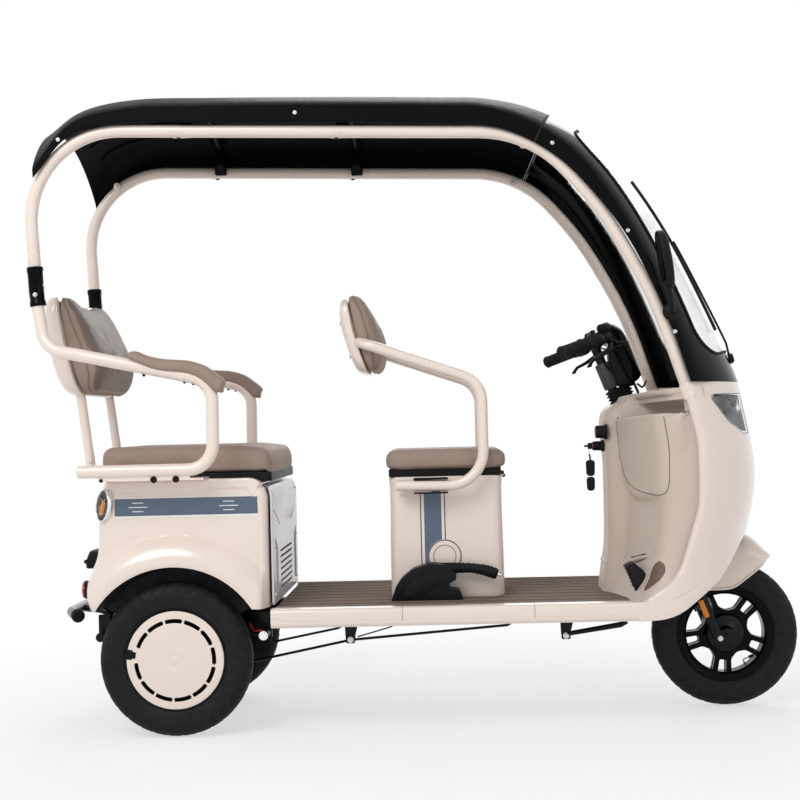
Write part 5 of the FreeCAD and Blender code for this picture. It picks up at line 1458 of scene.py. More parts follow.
def cowl():
    """Front cowl: one curved skin from wing to wing, with rolled edges and lamp openings."""
    nu, nv = 66, 58
    back = edge_runs([(-280, FLOOR_LOW, 0), (-280, FLOOR_TOP - 2, 6), (-262, FLOOR_TOP - 2, 0), (-165, 400, 190),
                      (-102, 590, 160), (-100, 760, 220), (-141, COWL_TOP, 0)], nv)
    low = edge_runs([(-280, FLOOR_LOW, 0), (-190, 296, 160), (-60, 390, 150), (30, 502, 60), (68, 512, 0)], nu)
    low[-1] = (PLAN_RUN, low[-1][1])
    first, nose_low = run_of(-141, COWL_TOP), low[-1][1]
    top = [(first + (PLAN_RUN - first) * i / nu, COWL_TOP) for i in range(nu + 1)]
    nose = [(PLAN_RUN, nose_low + (COWL_TOP - nose_low) * j / nv) for j in range(nv + 1)]
    rows = []
    for j in range(nv + 1):
        v = j / nv
        line = []                        # a patch filled in from its four edges
        for i in range(nu + 1):
            u = i / nu
            line.append([(1 - v) * low[i][c] + v * top[i][c] + (1 - u) * back[j][c] + u * nose[j][c]
                         - ((1 - u) * (1 - v) * low[0][c] + u * (1 - v) * low[nu][c]
                            + (1 - u) * v * top[0][c] + u * v * top[nu][c]) for c in (0, 1)] + [0.0])
        fade, (s, z, _) = step(0.0, 0.1, v), line[0]
        roll = [(s - back_by * (0.25 + 0.75 * fade), z, inward * fade) for back_by, inward in
                ((1.0, 15.0), (5.5, 14.5), (8.0, 11.0), (8.6, 7.0), (7.6, 3.4), (4.6, 0.9))]
        line = roll + line
        rows.append([cowl_point(s, z, -1, inset) for s, z, inset in line]
                    + [cowl_point(s, z, 1, inset) for s, z, inset in line[-2::-1]])
    ob = skin("cowl_skin", rows, "cream", nodes=("front_cowl",), slot="cream_body", thick=4.5, offset=1, bevel=1.4,
              angle=50)
    outline = [(F + x, z) for x, z in LAMP_OUTLINE]
    boolean(ob, [prism("lamp_cut", outline, *sorted((side * 62.0, side * (COWL_HALF + 30)))) for side in SIDES],
            angle=50)


def lamp(side):
    """Headlamp: chrome frame, dark chrome bowl, round reflector with its bulb, and a clear lens flush with the skin."""
    stop = PLAN_RUN * (1 - 62.5 / COWL_HALF / (pi / 2))
    line = [(min(run_of(min(x, nose_at(z) - 0.001), z), stop), z)
            for x, z in evened(LAMP_OUTLINE + LAMP_OUTLINE[:1], 150)[:-1]]
    cx, cz = sum(p[0] for p in line) / len(line), sum(p[1] for p in line) / len(line)

    def ring(scale, inset, shrink=0.0):
        row = []
        for s, z in line:
            ds, dz = s - cx, z - cz
            k = scale * (1 - shrink / max(1e-6, hypot(ds, dz)))
            row.append(cowl_point(cx + ds * k, cz + dz * k, side, inset))
        return row
    rows = [ring(1, -0.4, 1.0), ring(1, -1.6, 2.4), ring(1, -1.2, 5.0), ring(1, 3.0, 6.0), ring(0.9, 16, 6),
            ring(0.75, 30, 6), ring(0.5, 36, 6), ring(0.25, 38, 6), ring(0.02, 38, 0)]
    bowl = skin("lamp_frame_" + tag(side), rows[:4], "chrome", True, angle=50, slot="lamp_lens")
    verts, faces = grid(rows[3:], True)
    mesh("lamp_bowl_" + tag(side), verts, faces + caps(rows[3:])[1:], "smoke", angle=50)
    rows = [ring(1, -0.6, 4.6), ring(0.95, -1.4, 4.6)] + [ring(s, -2.0, 4.6) for s in (0.8, 0.6, 0.4, 0.2)]
    rows.append(ring(0.02, -2.0))
    verts, faces = grid(rows, True)
    mesh("lamp_lens_" + tag(side), verts, faces + caps(rows)[1:], "lens", thick=2.0)
    for s, z, radius, name, material in ((cx + 6, cz + 4, 27, "chrome", "white"),
                                         (cx + 62, cz + 6, 17, "amber", "amber")):
        centre, inner = cowl_point(s, z, side, 30), cowl_point(s, z, side, 20)
        aim = (inner - centre).normalized() * 0.4 + Vector((1, 0, 0)) * 0.7
        profile = [(2, 2.0), (radius * 0.35, 2.4), (radius * 0.7, 7.0), (radius * 0.92, 15), (radius, 22),
                   (radius + 1.6, 22), (radius + 1.6, 19), (radius * 0.8, 4), (2, 0)]
        lathe(f"lamp_cup_{tag(side)}_{name}", profile, centre, "chrome", aim=aim, count=40, closed=True)
        lathe(f"lamp_bulb_{tag(side)}_{name}", [(4, 0), (6, 4), (6.5, 9), (5, 14), (0, 16)], centre, material, aim=aim,
              count=20)
    line = ring(1, -1.0, 0.6)
    tube("lamp_seal_" + tag(side), line + line[:2], 1.5, "black", 8, "flat")
    return bowl


cowl()
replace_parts(lamp(-1), "headlamps")
lamp(1)


# ==== front mudguard ====
def mudguard():
    """Arched guard over the front wheel with a rolled lip and a nose that dips at its tip."""
    # Across the wheel, from its rear to its tip: x, z of the crown, x, z of the edges, half width.
    path = [(-150, 462, -150, 352, 84), (-90, 476, -96, 341, 88), (-20, 490, -44, 340, 90), (45, 491, 12, 344, 90),
            (80, 480, 50, 368, 88), (106, 455, 90, 398, 84), (121, 440, 106, 414, 76), (126, 434, 112, 420, 68)]
    table = [(i,) + row for i, row in enumerate(path)]
    rows = []
    for k in range(57):
        x1, z1, x0, z0, half = curve_at(table, k / 8)
        row = []
        for j in range(41):
            a = -1 + 2 * j / 40
            lift = max(0.0, cos(a * pi / 2)) ** 0.42
            y = half * (1 if a > 0 else -1) * abs(sin(a * pi / 2)) ** 0.9
            row.append((F + x0 + (x1 - x0) * lift, y, z0 + (z1 - z0) * lift))
        rows.append(row)
    skin("mudguard_skin", rows, "cream", body="steering", nodes=("mudguard",), slot="cream_body", thick=4.0, bevel=1.4,
         angle=50)
    edge = [row[0] for row in rows[8:]] + rows[-1][1:-1] + [row[-1] for row in rows[:7:-1]]
    tube("mudguard_lip", edge, 3.4, "cream", 10, body="steering")


mudguard()


# ==== leg shield ====
# All x values are from the front axle.
SHIELD_REAR_X = [(DECK_TOP, -350), (400, -342), (470, -331), (580, -328), (690, -328), (740, -331), (790, -335),
                 (826, -335), (850, -331), (864, -322), (873, -308), (880, -292), (900, -284)]
SHIELD_SIDE_X = [(DECK_TOP, -262), (360, -222), (400, -165), (490, -128), (590, -103), (680, -96), (760, -98),
                 (850, -119), (COWL_TOP, -141)]
ACROSS_SHARE = [(0, 0.0), (62, 0.0), (80, 0.02), (98, 0.11), (120, 0.225), (200, 0.33), (290, 0.46), (335, 0.55),
                (354, 0.66), (363, 0.82), (367.5, 1.0), (369, 1.08)]
SHIELD_RIM = [(-340, 874), (-300, 886), (-250, 896), (-190, 902), (-142, 906), (-110, 908)]
# Line of painted shade round a pocket front: step, share of the half width, height.
POCKET_SHADE_LINE = [(0, 0.290, 819), (1, 0.292, 760), (2, 0.300, 705), (3, 0.378, 657), (4, 0.490, 637), (5, 0.62, 627),
               (6, 0.76, 621), (7, 0.875, 618), (8, 0.929, 629), (9, 0.951, 660), (10, 0.957, 710), (11, 0.959, 760),
               (12, 0.959, 829)]
POCKET_Y, POCKET_HALF, POCKET_LIP = 220.0, 120.0, 828.0
RIM_RISE = 60.0              # from the pockets' lip to the rim


def shield_half(z):
    """Half width of the leg shield at a height, inside the cowl's rolled edge."""
    z = min(z, COWL_TOP)
    return cowl_half(curve_at(SHIELD_SIDE_X, z)[0] + 6, z) - 12.0


def shield_x(y, z):
    """How far behind the front axle the leg shield stands."""
    share = curve_at(ACROSS_SHARE, min(369.0, abs(y) * 368.8 / shield_half(z)))[0]
    share += (max(0.0, (abs(y) - 84) / 284) - share) * 0.35 * step(DECK_TOP + 110, DECK_TOP, z)
    column = curve_at(SHIELD_REAR_X, z)[0]
    return column + (curve_at(SHIELD_SIDE_X, z)[0] + 6 - column) * share


def shield_point(y, z, lift=0.0):
    return Vector((F + shield_x(y, z) - lift, y, z))


def panel_bulge(y, z):
    """Stand-out of the U-shaped pocket front."""
    a, b = (abs(y) - POCKET_Y) / (POCKET_HALF + 10), min(0.0, (z - 716) / 124)
    return 15.0 * step(1.0, 0.8, (abs(a) ** 3 + abs(b) ** 3) ** (1 / 3))


def rim_height(x):
    return curve_at(SHIELD_RIM, x)[0]


def lip_tilt(y):
    """How far the pockets' lip rises towards its outer end."""
    return 12.0 * ((abs(y) - POCKET_Y + POCKET_HALF) / (2 * POCKET_HALF) - 0.5) if abs(y) > 100 else 0.0


def leg_shield():
    """Inner shield with the column bulge, two open pockets, and a rounded top rim."""
    shares = [sin(a * pi / 2) * 0.35 + a * 0.65 for a in [-1 + 2 * k / 96 for k in range(97)]]
    rows, base = [], DECK_TOP + 1
    for z in [base + (POCKET_LIP - 6 - base) * k / 45 for k in range(46)]:
        row = []
        for y in [a * shield_half(z) for a in shares]:
            height = z + lip_tilt(y) * step(640, POCKET_LIP, z)
            row.append((F + shield_x(y, height) - panel_bulge(y, height), y, height))
        rows.append(row)
    # Over the lip, down into the pocket, up its back wall and over the rim: rise beside it, rise in it, way in.
    for flat_rise, pocket_rise, inward in (
            (0.0, 0.5, -2.0), (2.0, 2.5, -1.5), (4.0, 3.0, 1.5), (6.0, 2.0, 4.0), (9.0, -2.0, 5.5), (12.0, -22.0, 7.0),
            (15.0, -60.0, 10.0), (17.0, -112.0, 14.0), (19.0, -136.0, 24.0), (21.0, -142.0, 44.0), (23.0, -140.0, 66.0),
            (26.0, -132.0, 80.0), (29.0, -104.0, 86.0), (32.0, -60.0, 86.0), (36.0, -16.0, 84.0), (40.0, 12.0, 80.0),
            (44.0, 28.0, 70.0), (48.0, 38.0, 50.0), (52.0, 44.0, 26.0), (56.0, 49.0, 10.0), (60.0, 54.0, 2.0)):
        row, level = [], POCKET_LIP + flat_rise
        for y in [a * shield_half(level) for a in shares]:
            mask = step(POCKET_HALF, POCKET_HALF - 12, abs(abs(y) - POCKET_Y))
            outer_x = shield_x(y, level)
            top, left = rim_height(outer_x) - 4, 1 - flat_rise / RIM_RISE
            plain_z = POCKET_LIP - 6 + (top - POCKET_LIP + 6) * (flat_rise / RIM_RISE)
            pocket_z = POCKET_LIP + pocket_rise * ((top - POCKET_LIP) / RIM_RISE if pocket_rise > 0 else 1.0)
            x = outer_x - panel_bulge(y, POCKET_LIP) * (1 - mask if flat_rise > 8 else 1.0) * left
            x += inward * max(0.0, min(1.0, (-70 - outer_x - 6) / 100.0)) * mask
            row.append((F + x, y, plain_z + (pocket_z - plain_z) * mask + lip_tilt(y) * left))
        rows.append(row)
    level = POCKET_LIP + RIM_RISE
    for ahead, rise in ((1.5, 2.2), (4.5, 3.6), (9.0, 3.8), (14.0, 2.2), (18.0, -2.0), (20.0, -10.0), (21.0, -26.0)):
        row = []
        for y in [a * shield_half(level) for a in shares]:
            outer_x = shield_x(y, level)
            row.append((F + outer_x + ahead, y, rim_height(outer_x) - 4 + rise))
        rows.append(row)
    skin("leg_shield", rows, "beige", nodes=("legshield",), slot="taupe_mat", thick=3.0, offset=1, angle=50)


def dash_cover():
    """Cover over the space ahead of the rim, under the windscreen."""
    rows = []
    for t in [k / 8 for k in range(9)]:
        row = []
        for y in [(-1 + j / 20) * (COWL_HALF - 40) for j in range(41)]:
            outer_x = shield_x(y, POCKET_LIP + RIM_RISE) + 16
            nose = nose_at(890) - 24 - SWEEP * (1 - sqrt(max(0.0, 1 - (y / (COWL_HALF + 20)) ** 2)))
            x = outer_x + (max(nose, outer_x + 8) - outer_x) * t
            row.append((F + x, y, rim_height(outer_x) - 12 - 22 * t * (1 - 0.4 * t)))
        rows.append(row)
    skin("dash_cover", rows, "black", thick=3.0, offset=0, slot="black_plastic")


def lock(name, y, z, radius):
    """Lock barrel with a red ring."""
    spot = shield_point(y, z, 1)
    ob = lathe(name, [(radius + 3, 0), (radius + 3, 5), (radius, 8), (radius - 1, 30), (radius - 3, 32),
                      (radius - 6, 32), (radius - 6, 29), (0, 29)], spot, "black", aim=(-1, 0, 0), count=32)
    lathe(name + "_ring", [(radius - 2.4, 31.2), (radius - 2.8, 33), (radius - 5, 33), (radius - 5.4, 31.2)], spot,
          "red", aim=(-1, 0, 0), count=32)
    return ob


def keys():
    """Key in the lower lock, with its ring and two fobs."""
    x, y, z = shield_point(-40, 750, 2)
    outline = [(-16, -3, 1), (-6, -3, 1), (-6, -9, 3), (10, -9, 5), (10, 9, 5), (-6, 9, 3), (-6, 3, 1), (-16, 3, 1)]
    key = prism("key", flat(outline, 5), -1.4, 1.4)
    key.data.transform(Matrix.Translation(Vector((x - 38, y, z)) * MM))
    dress(key, "black")
    turns = [2 * pi * k / 24 for k in range(25)]
    tube("key_ring", [(x - 41, y + 8 * cos(t), 734 + 9 * sin(t)) for t in turns], 1.0, "chrome", 8, "flat")
    tube("key_link", [(x - 40, y, 726), (x - 38, y, 716), (x - 38, y, 706)], 2.6, "black", 10)
    for k, (z, wide, tall) in enumerate(((664, 26, 46), (622, 24, 40))):
        shape = flat([(-wide * 0.45, z, 10), (wide * 0.45, z, 10), (wide * 0.5, z + tall, 9),
                      (-wide * 0.5, z + tall, 9)], 6)
        solid(f"key_fob_{k}", [(x - 38 + a, b) for a, b in shape], -47, -33, "black", bevel=3.0)


def shield_details():
    """Column and panel screws, the locks with their key, and a line of painted shade round each pocket front."""
    pieces = [screw("column_screw", shield_point(y, z), (-1, 0, 0))
              for y, z in ((0, 800), (0, 420), (-58, 420), (58, 420))]
    for side in SIDES:
        pieces += [screw("shield_screw", shield_point(side * y, z), (-1, side * -0.3, 0))
                   for y, z in ((300, 470), (140, 420))]
    merge("shield_screws", pieces)
    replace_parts(lock("ignition_lock", -78, 790, 19), "ignition")
    lock("second_lock", -40, 750, 14)
    keys()
    # A darker line round each pocket front, where the bulge meets the shield: painted shade.
    pieces = []
    for side in SIDES:
        points = []
        for k in range(97):
            share, z = curve_at(POCKET_SHADE_LINE, k / 8)
            y = side * share * shield_half(z)
            points.append(shield_point(y, z, panel_bulge(y, z) + 0.2))
        pieces.append(tube("pocket_shade_line", points, 1.3, "joint", 8))
    merge("pocket_shade_lines", pieces)


leg_shield()
dash_cover()
shield_details()


# ==== parking brake and foot pedal ====
def moulded(name, outline, low, high, material, bevel, segments, limit, **kw):
    """Prism with a rounded edge wherever two faces meet at more than the limit."""
    ob = prism(name, outline, low, high)
    add_bevel(ob, bevel, segments, limit)
    return dress(bake(ob), material, **kw)


def parking_brake():
    """Moulded brake cover with a raised cheek, and its lever with a ribbed sleeve and thumb button."""
    near, far = (corner.y for corner in span("parking_brake"))
    outline = [(577, FLOOR_TOP + 1, 2), (591, 379, 14), (608, 402, 16), (640, 427, 30), (690, 441, 34), (728, 436, 22),
               (757, 412, 14), (757, 395, 10), (735, 384, 8), (740, 371, 6), (764, 368, 8), (776, FLOOR_TOP + 1, 3)]
    moulded("brake_cover", flat([(R + x, z, r) for x, z, r in outline], 6), near, far, "black", 7.0, 4, 50,
            nodes=("parking_brake",), slot="black_plastic", angle=30)
    outline = [(606, FLOOR_TOP + 6, 4), (618, 376, 20), (640, 394, 20), (686, 414, 16), (703, 412, 12), (714, 396, 14),
               (690, 376, 20), (660, FLOOR_TOP + 6, 6)]
    moulded("brake_cheek", flat([(R + x, z, r) for x, z, r in outline], 6), near - 2.2, near + 6, "black", 2.0, 3, 40)
    y = (near + far) / 2
    path = [Vector((R + x, y, z)) for x, z in ((715, 424), (760, 425), (800, 424), (838, 417), (868, 406))]
    line = [a.lerp(b, k / 6) for a, b in zip(path, path[1:]) for k in range(6)] + path[-1:]
    radii = [16.0 - 3.0 * step(0, 12, k) + 2.0 * step(12, 20, k) for k in range(len(line))]
    tube("brake_lever", line, radii, "black", 20)
    merge("brake_lever_ribs", [tube("rib", [line[k - 1].lerp(line[k], share) for share in (0.35, 0.9)], radii[k] + 1.1,
                                    "rubber", 20) for k in range(9, 24, 2)])
    tube("brake_button", [line[-1], line[-1] + Vector((12, 0, -4.5))], 3.6, "chrome", 12)


def foot_pedal():
    """Ribbed rubber pedal standing in its slot, under a small raised lip, with a painted shadow under the lip and a
    painted shadow patch beside the pedal.
    """
    low, high = span("brake_pedal")
    rear = [(low.x + 19, high.z - 8), (low.x + 34, high.z - 42), (low.x + 47, high.z - 78), (low.x + 55, low.z + 4)]
    front = [(low.x + 42, high.z - 1), (low.x + 66, high.z - 22), (low.x + 88, high.z - 60), (low.x + 108, low.z + 6)]
    outline = flat([(x, z, 6) for x, z in rear] + [(x, z, 8) for x, z in reversed(front)], 5)
    moulded("pedal_pad", outline, low.y + 2, high.y - 2, "rubber", 3.0, 3, 50, nodes=("brake_pedal",),
            slot="black_rubber", angle=30)
    pieces = []
    for k in range(12):
        t = (k + 0.6) / 12 * 3
        i = min(2, int(t))
        (x, z), (x2, z2) = ([a + (b - a) * (t - i) for a, b in zip(*edge[i:i + 2])] for edge in (rear, front))
        pieces.append(tube("rib", [(x - 0.5, low.y + 5, z), (x - 0.5, high.y - 5, z)], 3.0, "rubber", 10))
        pieces.append(tube("rib", [(x + 4, low.y + 3.5, z), (x2 - 5, low.y + 3.5, z2 - 1)], 2.4, "rubber", 8))
    merge("pedal_ribs", pieces)
    ridge = [(y, 434 + 16 * step(-150, -262, y) + 4 * sin((y + 150) / 112 * pi)) for y in range(-148, -264, -6)]
    lip = [shield_point(y, z, 2.5) for y, z in ridge]
    tube("pedal_lip", lip, [1.0 + 7.0 * sin(pi * (k + 0.5) / len(lip)) ** 0.5 for k in range(len(lip))], "beige", 14)
    # Dark strip in the gap under the lip: painted shadow.
    gap = [shield_point(y, z + 9, 1.2) for y, z in ridge[2:-2]]
    tube("pedal_lip_painted_shadow", gap, [0.8 + 2.2 * sin(pi * (k + 0.5) / len(gap)) for k in range(len(gap))], "dark", 10)
    # Darker brown patch on the shield beside the pedal: painted shadow.
    rows = []
    for v in [-1 + j / 7 for j in range(15)]:
        row = []
        for u in [-1 + k / 6 for k in range(13)]:
            y, z = -322 + 17 * u * sqrt(max(0.0, 1 - v * v)), 404 + 40 * v
            row.append(shield_point(y, z, 1.6 * (1 - u * u * v * v)))
        rows.append(row)
    skin("pedal_shade", rows, "brown", thick=1.2, weld=True)


parking_brake()
foot_pedal()


# ==== handlebar, grips, levers and display ====
BAR_X = steer(1048.0).x


def turning(kind, *args, **kw):
    """A piece that turns with the steering."""
    return kind(*args, body="steering", **kw)


def bar_points(side):
    return [Vector((BAR_X + x, side * y, z)) for x, y, z in ((-113, 306, 1006), (-24, 222, 1037), (4, 140, 1060),
                                                             (0, 60, 1064))]


def hand_pieces(side):
    """One side's grip, switch housing, brake lever with its tank and cable: by merged piece."""
    end, bend = bar_points(side)[:2]
    along = (bend - end).normalized()
    down = Vector((0.25, 0, -1)).normalized()
    down = (down - along * down.dot(along)).normalized()
    ahead = along.cross(down) * side
    if ahead.x < 0:
        ahead = -ahead
    places = ((0, 12), (1.5, 16.5), (5, 18.5), (9, 18), (11, 16.5), (112, 16.5), (114, 19.5), (119, 19.5), (120, 12))
    grips = [turning(tube, "grip", [end + along * (place - 4) for place, size in places],
                     [size for place, size in places], "rubber", 28, "flat")]
    for k in range(10):
        a = end + along * (14 + k * 9.6)
        grips.append(turning(tube, "grip_ring", [a, a + along * 5], 17.3, "rubber", 28, "flat"))
    base = end + along * 117
    knob, perch = base + along * 24 - down * 20, base + along * 66
    cases = [turning(tube, "switch_case", [base + along * t for t in (0, 3, 10, 34, 44, 50)], [14, 19, 22, 22, 19, 14],
                     "black", 24, "flat"),
             turning(tube, "switch_knob", [knob, knob - down * 9], 6.5, "black", 14)]
    mark = turning(lathe, "switch_mark", [(4.6, 0), (4.6, 1.2), (0, 1.4)], knob - ahead * 22 + down * 18,
                   "red" if side < 0 else "amber", count=20, aim=-ahead)
    tank, pivot = perch - down * 26 + ahead * 6, perch + ahead * 12 + down * 22
    tips = [pivot, pivot - along * 22 + ahead * 8 + down * 14, pivot - along * 58 + ahead * 6 + down * 22,
            pivot - along * 92 + ahead * 2 + down * 26, pivot - along * 108 + down * 36]
    line = [a.lerp(b, k / 4) for a, b in zip(tips, tips[1:]) for k in range(4)] + [tips[-1]]
    loop = [perch + ahead * 14 + down * 6, perch + ahead * 34 + down * 26 + along * 12,
            perch + ahead * 36 + along * 60 + down * 34, Vector((BAR_X + 6, side * 60, 1012)),
            Vector((steer(960).x + 14, side * 22, 960))]
    loop = rounded([(*p, 26 if 0 < i < 4 else 0) for i, p in enumerate(loop)], False, 8)
    levers = [turning(tube, "lever_part", points, radius, material, count) for points, radius, material, count in (
        ([perch - along * 9, perch + along * 9], 17, "black", 24),
        ([tank - along * 14, tank + along * 16], 13, "black", 20),
        ([perch, tank], 9, "black", 14), (line, [7.0 - 2.4 * step(0, 12, k) for k in range(len(line))], "black", 14),
        ([tips[-1] - down * 1.0, tips[-1] + down * 3], 6.8, "black", 14), (loop, 2.6, "rubber", 10))]
    return grips, cases, [mark], levers


def handlebar():
    """Bent bar on its stem, with rubber grips, switch housings, levers and clamps."""
    ends = list(zip(bar_points(-1), (0, 60, 50, 40))) + list(zip(bar_points(1), (0, 60, 50, 40)))[::-1]
    turning(tube, "handlebar_tube", rounded([(*p, radius) for p, radius in ends], False, 8), 11, "enamel", 20, "flat",
            nodes=("handlebar",), slot="black_metal")
    turning(tube, "steering_stem", [steer(900), steer(1000), steer(1066)], 14, "enamel", 24)
    right, left = hand_pieces(-1), hand_pieces(1)
    merged = [merge(name, a + b) for name, a, b in zip(("grip_rubbers", "switch_cases", "switch_marks", "brake_levers"),
                                                       right, left)]
    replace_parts(merged[0], "grips")


def display():
    """Instrument cover: dark rear shell, grey glossy back, and a screen facing the rider; the boot below."""
    side = flat([(-310, 1094, 20), (-274, 1080, 26), (-248, 1026, 60), (-226, 962, 24), (-224, 942, 12),
                 (-246, 924, 12), (-262, 946, 20), (-292, 1010, 40), (-328, 1056, 20), (-334, 1076, 12)], 6)
    turning(loft, "display_case", [(F + x, z) for x, z in side],
            ((-60, 9), (-57, 4), (-51, 1.2), (-44, 0), (44, 0), (51, 1.2), (57, 4), (60, 9)), "gloss",
            nodes=("display_pod",), slot="black_gloss", angle=50)
    back = [(-314, 1096), (-295, 1092), (-277, 1081), (-262, 1058), (-249, 1026), (-236, 992), (-225, 959), (-223, 946)]
    rows = [[(F + x + 1.5 - 8 * (abs(y) / 52) ** 4, y, z + 1 - 3 * (abs(y) / 52) ** 4) for y in range(-52, 53, 8)]
            for x, z in back]
    turning(skin, "display_back", rows, "smoke", thick=6.0, offset=0, bevel=1.5, angle=50)
    rows = [[(F + x - 2.4, y, z + 1) for y in (-44, 0, 44)] for x, z in ((-331, 1076), (-310, 1036), (-293, 1002))]
    turning(skin, "display_screen", rows, "screen", thick=1.6, offset=0, bevel=0.5, slot="clear_screen")
    turning(tube, "key_block", [steer(z, 4) for z in (986, 982, 918, 914)], [24, 26, 26, 24], "block", 32, "flat")
    shroud = flat([(-312, 1054, 10), (-284, 1050, 10), (-262, 1030, 20), (-242, 988, 30), (-232, 948, 12),
                   (-242, 919, 8), (-284, 919, 8), (-309, 985, 20)], 5)
    turning(loft, "column_shroud", [(F + x, z) for x, z in shroud],
            ((-37, 8), (-34, 2), (-30, 0), (30, 0), (34, 2), (37, 8)), "black", angle=50)
    profile = []
    for k in range(7):
        z = 10 * k
        profile += [(30 + 0.7 * k, z), (36.5 + 0.5 * k, z + 2.5), (36.5 + 0.5 * k, z + 4.5), (30.5 + 0.7 * k, z + 8)]
    lean = radians(RAKE)
    turning(lathe, "boot_bellows", profile + [(24, 70)], (F - 260, 0, 850), "rubber", nodes=("steering_boot",),
            slot="black_rubber", aim=(-sin(lean), 0, cos(lean)), count=48, angle=30)
    wires = [([(-226, 14, 926, 0), (-212, 16, 914, 8), (-204, 30, 922, 8), (-196, 46, 934, 0)], 6, 3.0),
             ([(-240, -12, 930, 0), (-226, -16, 896, 14), (-246, -14, 868, 0)], 8, 4.0)]
    merge("display_wires", [turning(tube, "wire", rounded([(F + x, y, z, r) for x, y, z, r in line], False, steps),
                                    radius, "rubber", 10) for line, steps, radius in wires])


def fork_details():
    """Amber side reflectors and bolts on the fork legs."""
    pieces, ahead = [], polar(1, radians(RAKE))
    for side in SIDES:
        y = side * (span("fork")[1].y - 3.0)
        a, b = steer(312, -9, y), steer(264, -9, y)
        along = (a - b).normalized()
        for name, reach, half, out, material in (("holder", 2.0, 9.5, 3.0, "black"), ("amber", 0.0, 7.5, 6.0, "amber")):
            ring = [end + along * near + ahead * far for end, near, far in (
                (a, reach, half), (a, reach, -half), (b, -reach, -half), (b, -reach, half))]
            rows = [[p + Vector((0, side * d, 0)) for p in ring] for d in (0, out)]
            verts, faces = grid(rows, True)
            pieces.append(turning(mesh, "fork_" + name, verts, faces + caps(rows), material, bevel=1.6))
        foot = steer(200, 2, side * span("fork")[1].y)
        pieces.append(turning(hexbolt, "fork_bolt", foot, (0, side, 0), "zinc", 6, 5))
    merge("fork_reflectors", pieces)


handlebar()
display()
fork_details()


# ==== rear lamps, plate lamp, bumper and small fittings ====
def oval(name, centre, aim, long, wide, tilt, profile, material, **kw):
    """Oval turned piece; the profile is share of the outline, height along the aim."""
    turn = Vector(aim).to_track_quat("Z", "Y").to_matrix()
    out = turn @ Vector((0, 0, 1))
    up = Matrix.Rotation(radians(tilt), 3, out) @ (turn @ Vector((0, 1, 0)))
    across = up.cross(out)
    turns = [2 * pi * k / 48 for k in range(48)]
    rows = [[Vector(centre) + up * long * share * sin(a) + across * wide * share * cos(a) + out * height for a in turns]
            for share, height in profile]
    verts, faces = grid(rows, True)
    faces += [cap for cap, (share, height) in zip(caps(rows), (profile[0], profile[-1])) if share > 0.01]
    return mesh(name, verts, faces, material, weld=True, **kw)


def tail_lamp(side):
    """Oval corner lamp: chrome rim, glossy black bowl, amber turn lens and clear cover; red reflector below."""
    centre = Vector((R + rear_edge(626) + 25, side * (BODY_HALF - 17), 624))
    aim = Vector((-0.72, side * 0.70, 0.06)).normalized()
    rim = oval("tail_rim_" + tag(side), centre, aim, 45, 33, side * 14,
               [(0.9, -8), (1.0, -4), (1.0, 5), (0.98, 8), (0.94, 9), (0.9, 7.5), (0.88, 0), (0.5, -3.0), (0.3, -4.5)],
               "chrome", slot="tail_lens", angle=50)
    oval("tail_bowl_" + tag(side), centre, aim, 45, 33, side * 14,
         [(0.89, 6.0), (0.85, 2), (0.7, 0), (0.3, -2), (0.01, -2)], "gloss", angle=50)
    oval("tail_turn_" + tag(side), centre + aim * 1.5 - Vector((0, 0, 6)), aim, 24, 12, side * 20,
         [(1.0, -4), (1.0, 3), (0.85, 6.5), (0.5, 8.5), (0.01, 9)], "amber")
    oval("tail_cover_" + tag(side), centre, aim, 45, 33, side * 14,
         [(0.86, 7.0), (0.8, 10.0), (0.6, 13.0), (0.3, 14.5), (0.01, 15)], "lens")
    spot, face = Vector((R + rear_edge(394) + 3, side * (BODY_HALF - 64), 394)), Vector((-1, side * 0.12, 0.0))
    oval("reflector_rim_" + tag(side), spot, face, 26, 34, 0, [(0.9, -6), (0.96, 0), (0.96, 3), (0.8, 4)], "black")
    oval("reflector_" + tag(side), spot, face, 24, 32, 0, [(1.0, 0), (0.98, 7), (0.8, 10.5), (0.01, 12)], "red")
    return rim


def plate_lamp():
    """Housing over the plate with a small downward lens and two fixing pegs."""
    rear = R - 302
    outline = flat([(rear + 16, 486, 8), (R + rear_edge(470) + 3, 490, 2), (R + rear_edge(440) + 3, 436, 2),
                    (rear + 4, 434, 7), (rear + 6, 462, 12)], 5)
    loft("plate_lamp_case", outline,
         ((-100, 12), (-98, 5), (-92, 1.5), (-80, 0), (80, 0), (92, 1.5), (98, 5), (100, 12)), "black",
         nodes=("plate_bracket",), slot="black_plastic", angle=40)
    merge("plate_pegs", [tube("plate_peg", [(rear + 10, y, 455), (rear + 1, y, 455)], [7, 5.5], "black")
                         for y in (-88, 88)])
    solid("plate_lamp_lens", plate(rear + 14, rear + 34, -40, 40, 6), 430.5, 437, "lens", "z", 1.5)


def bumper():
    """Chrome bumper bar with black end plugs, curved in to its two stays."""
    x, z = R - 308, 329.0
    line = rounded([(x + 30, -266, z - 6, 0), (x, -224, z, 50), (x, 224, z, 50), (x + 30, 266, z - 6, 0)], False, 10)
    tube("bumper_bar", line, 14.5, "steel", 32, "flat", nodes=("rear_bumper",), slot="cast_metal")
    plug = [(10, -6), (17.5, -4), (18.5, 0), (18.5, 12), (16, 17), (9, 18), (8, 14), (0, 14)]
    merge("bumper_plugs", [lathe("bumper_plug", plug, (x + 26, side * 260, z - 5), "black", aim=(0.45, side, -0.1),
                                 count=32) for side in SIDES])
    stays = []
    for side in SIDES:
        path = rounded([(x + 2, side * 120, z, 0), (x + 60, side * 128, z - 6, 30), (R - 214, side * 140, z - 18, 0)],
                       False, 8)
        stays.append(tube("bumper_stay", path, 10, "enamel", 18))
    merge("bumper_stays", stays)


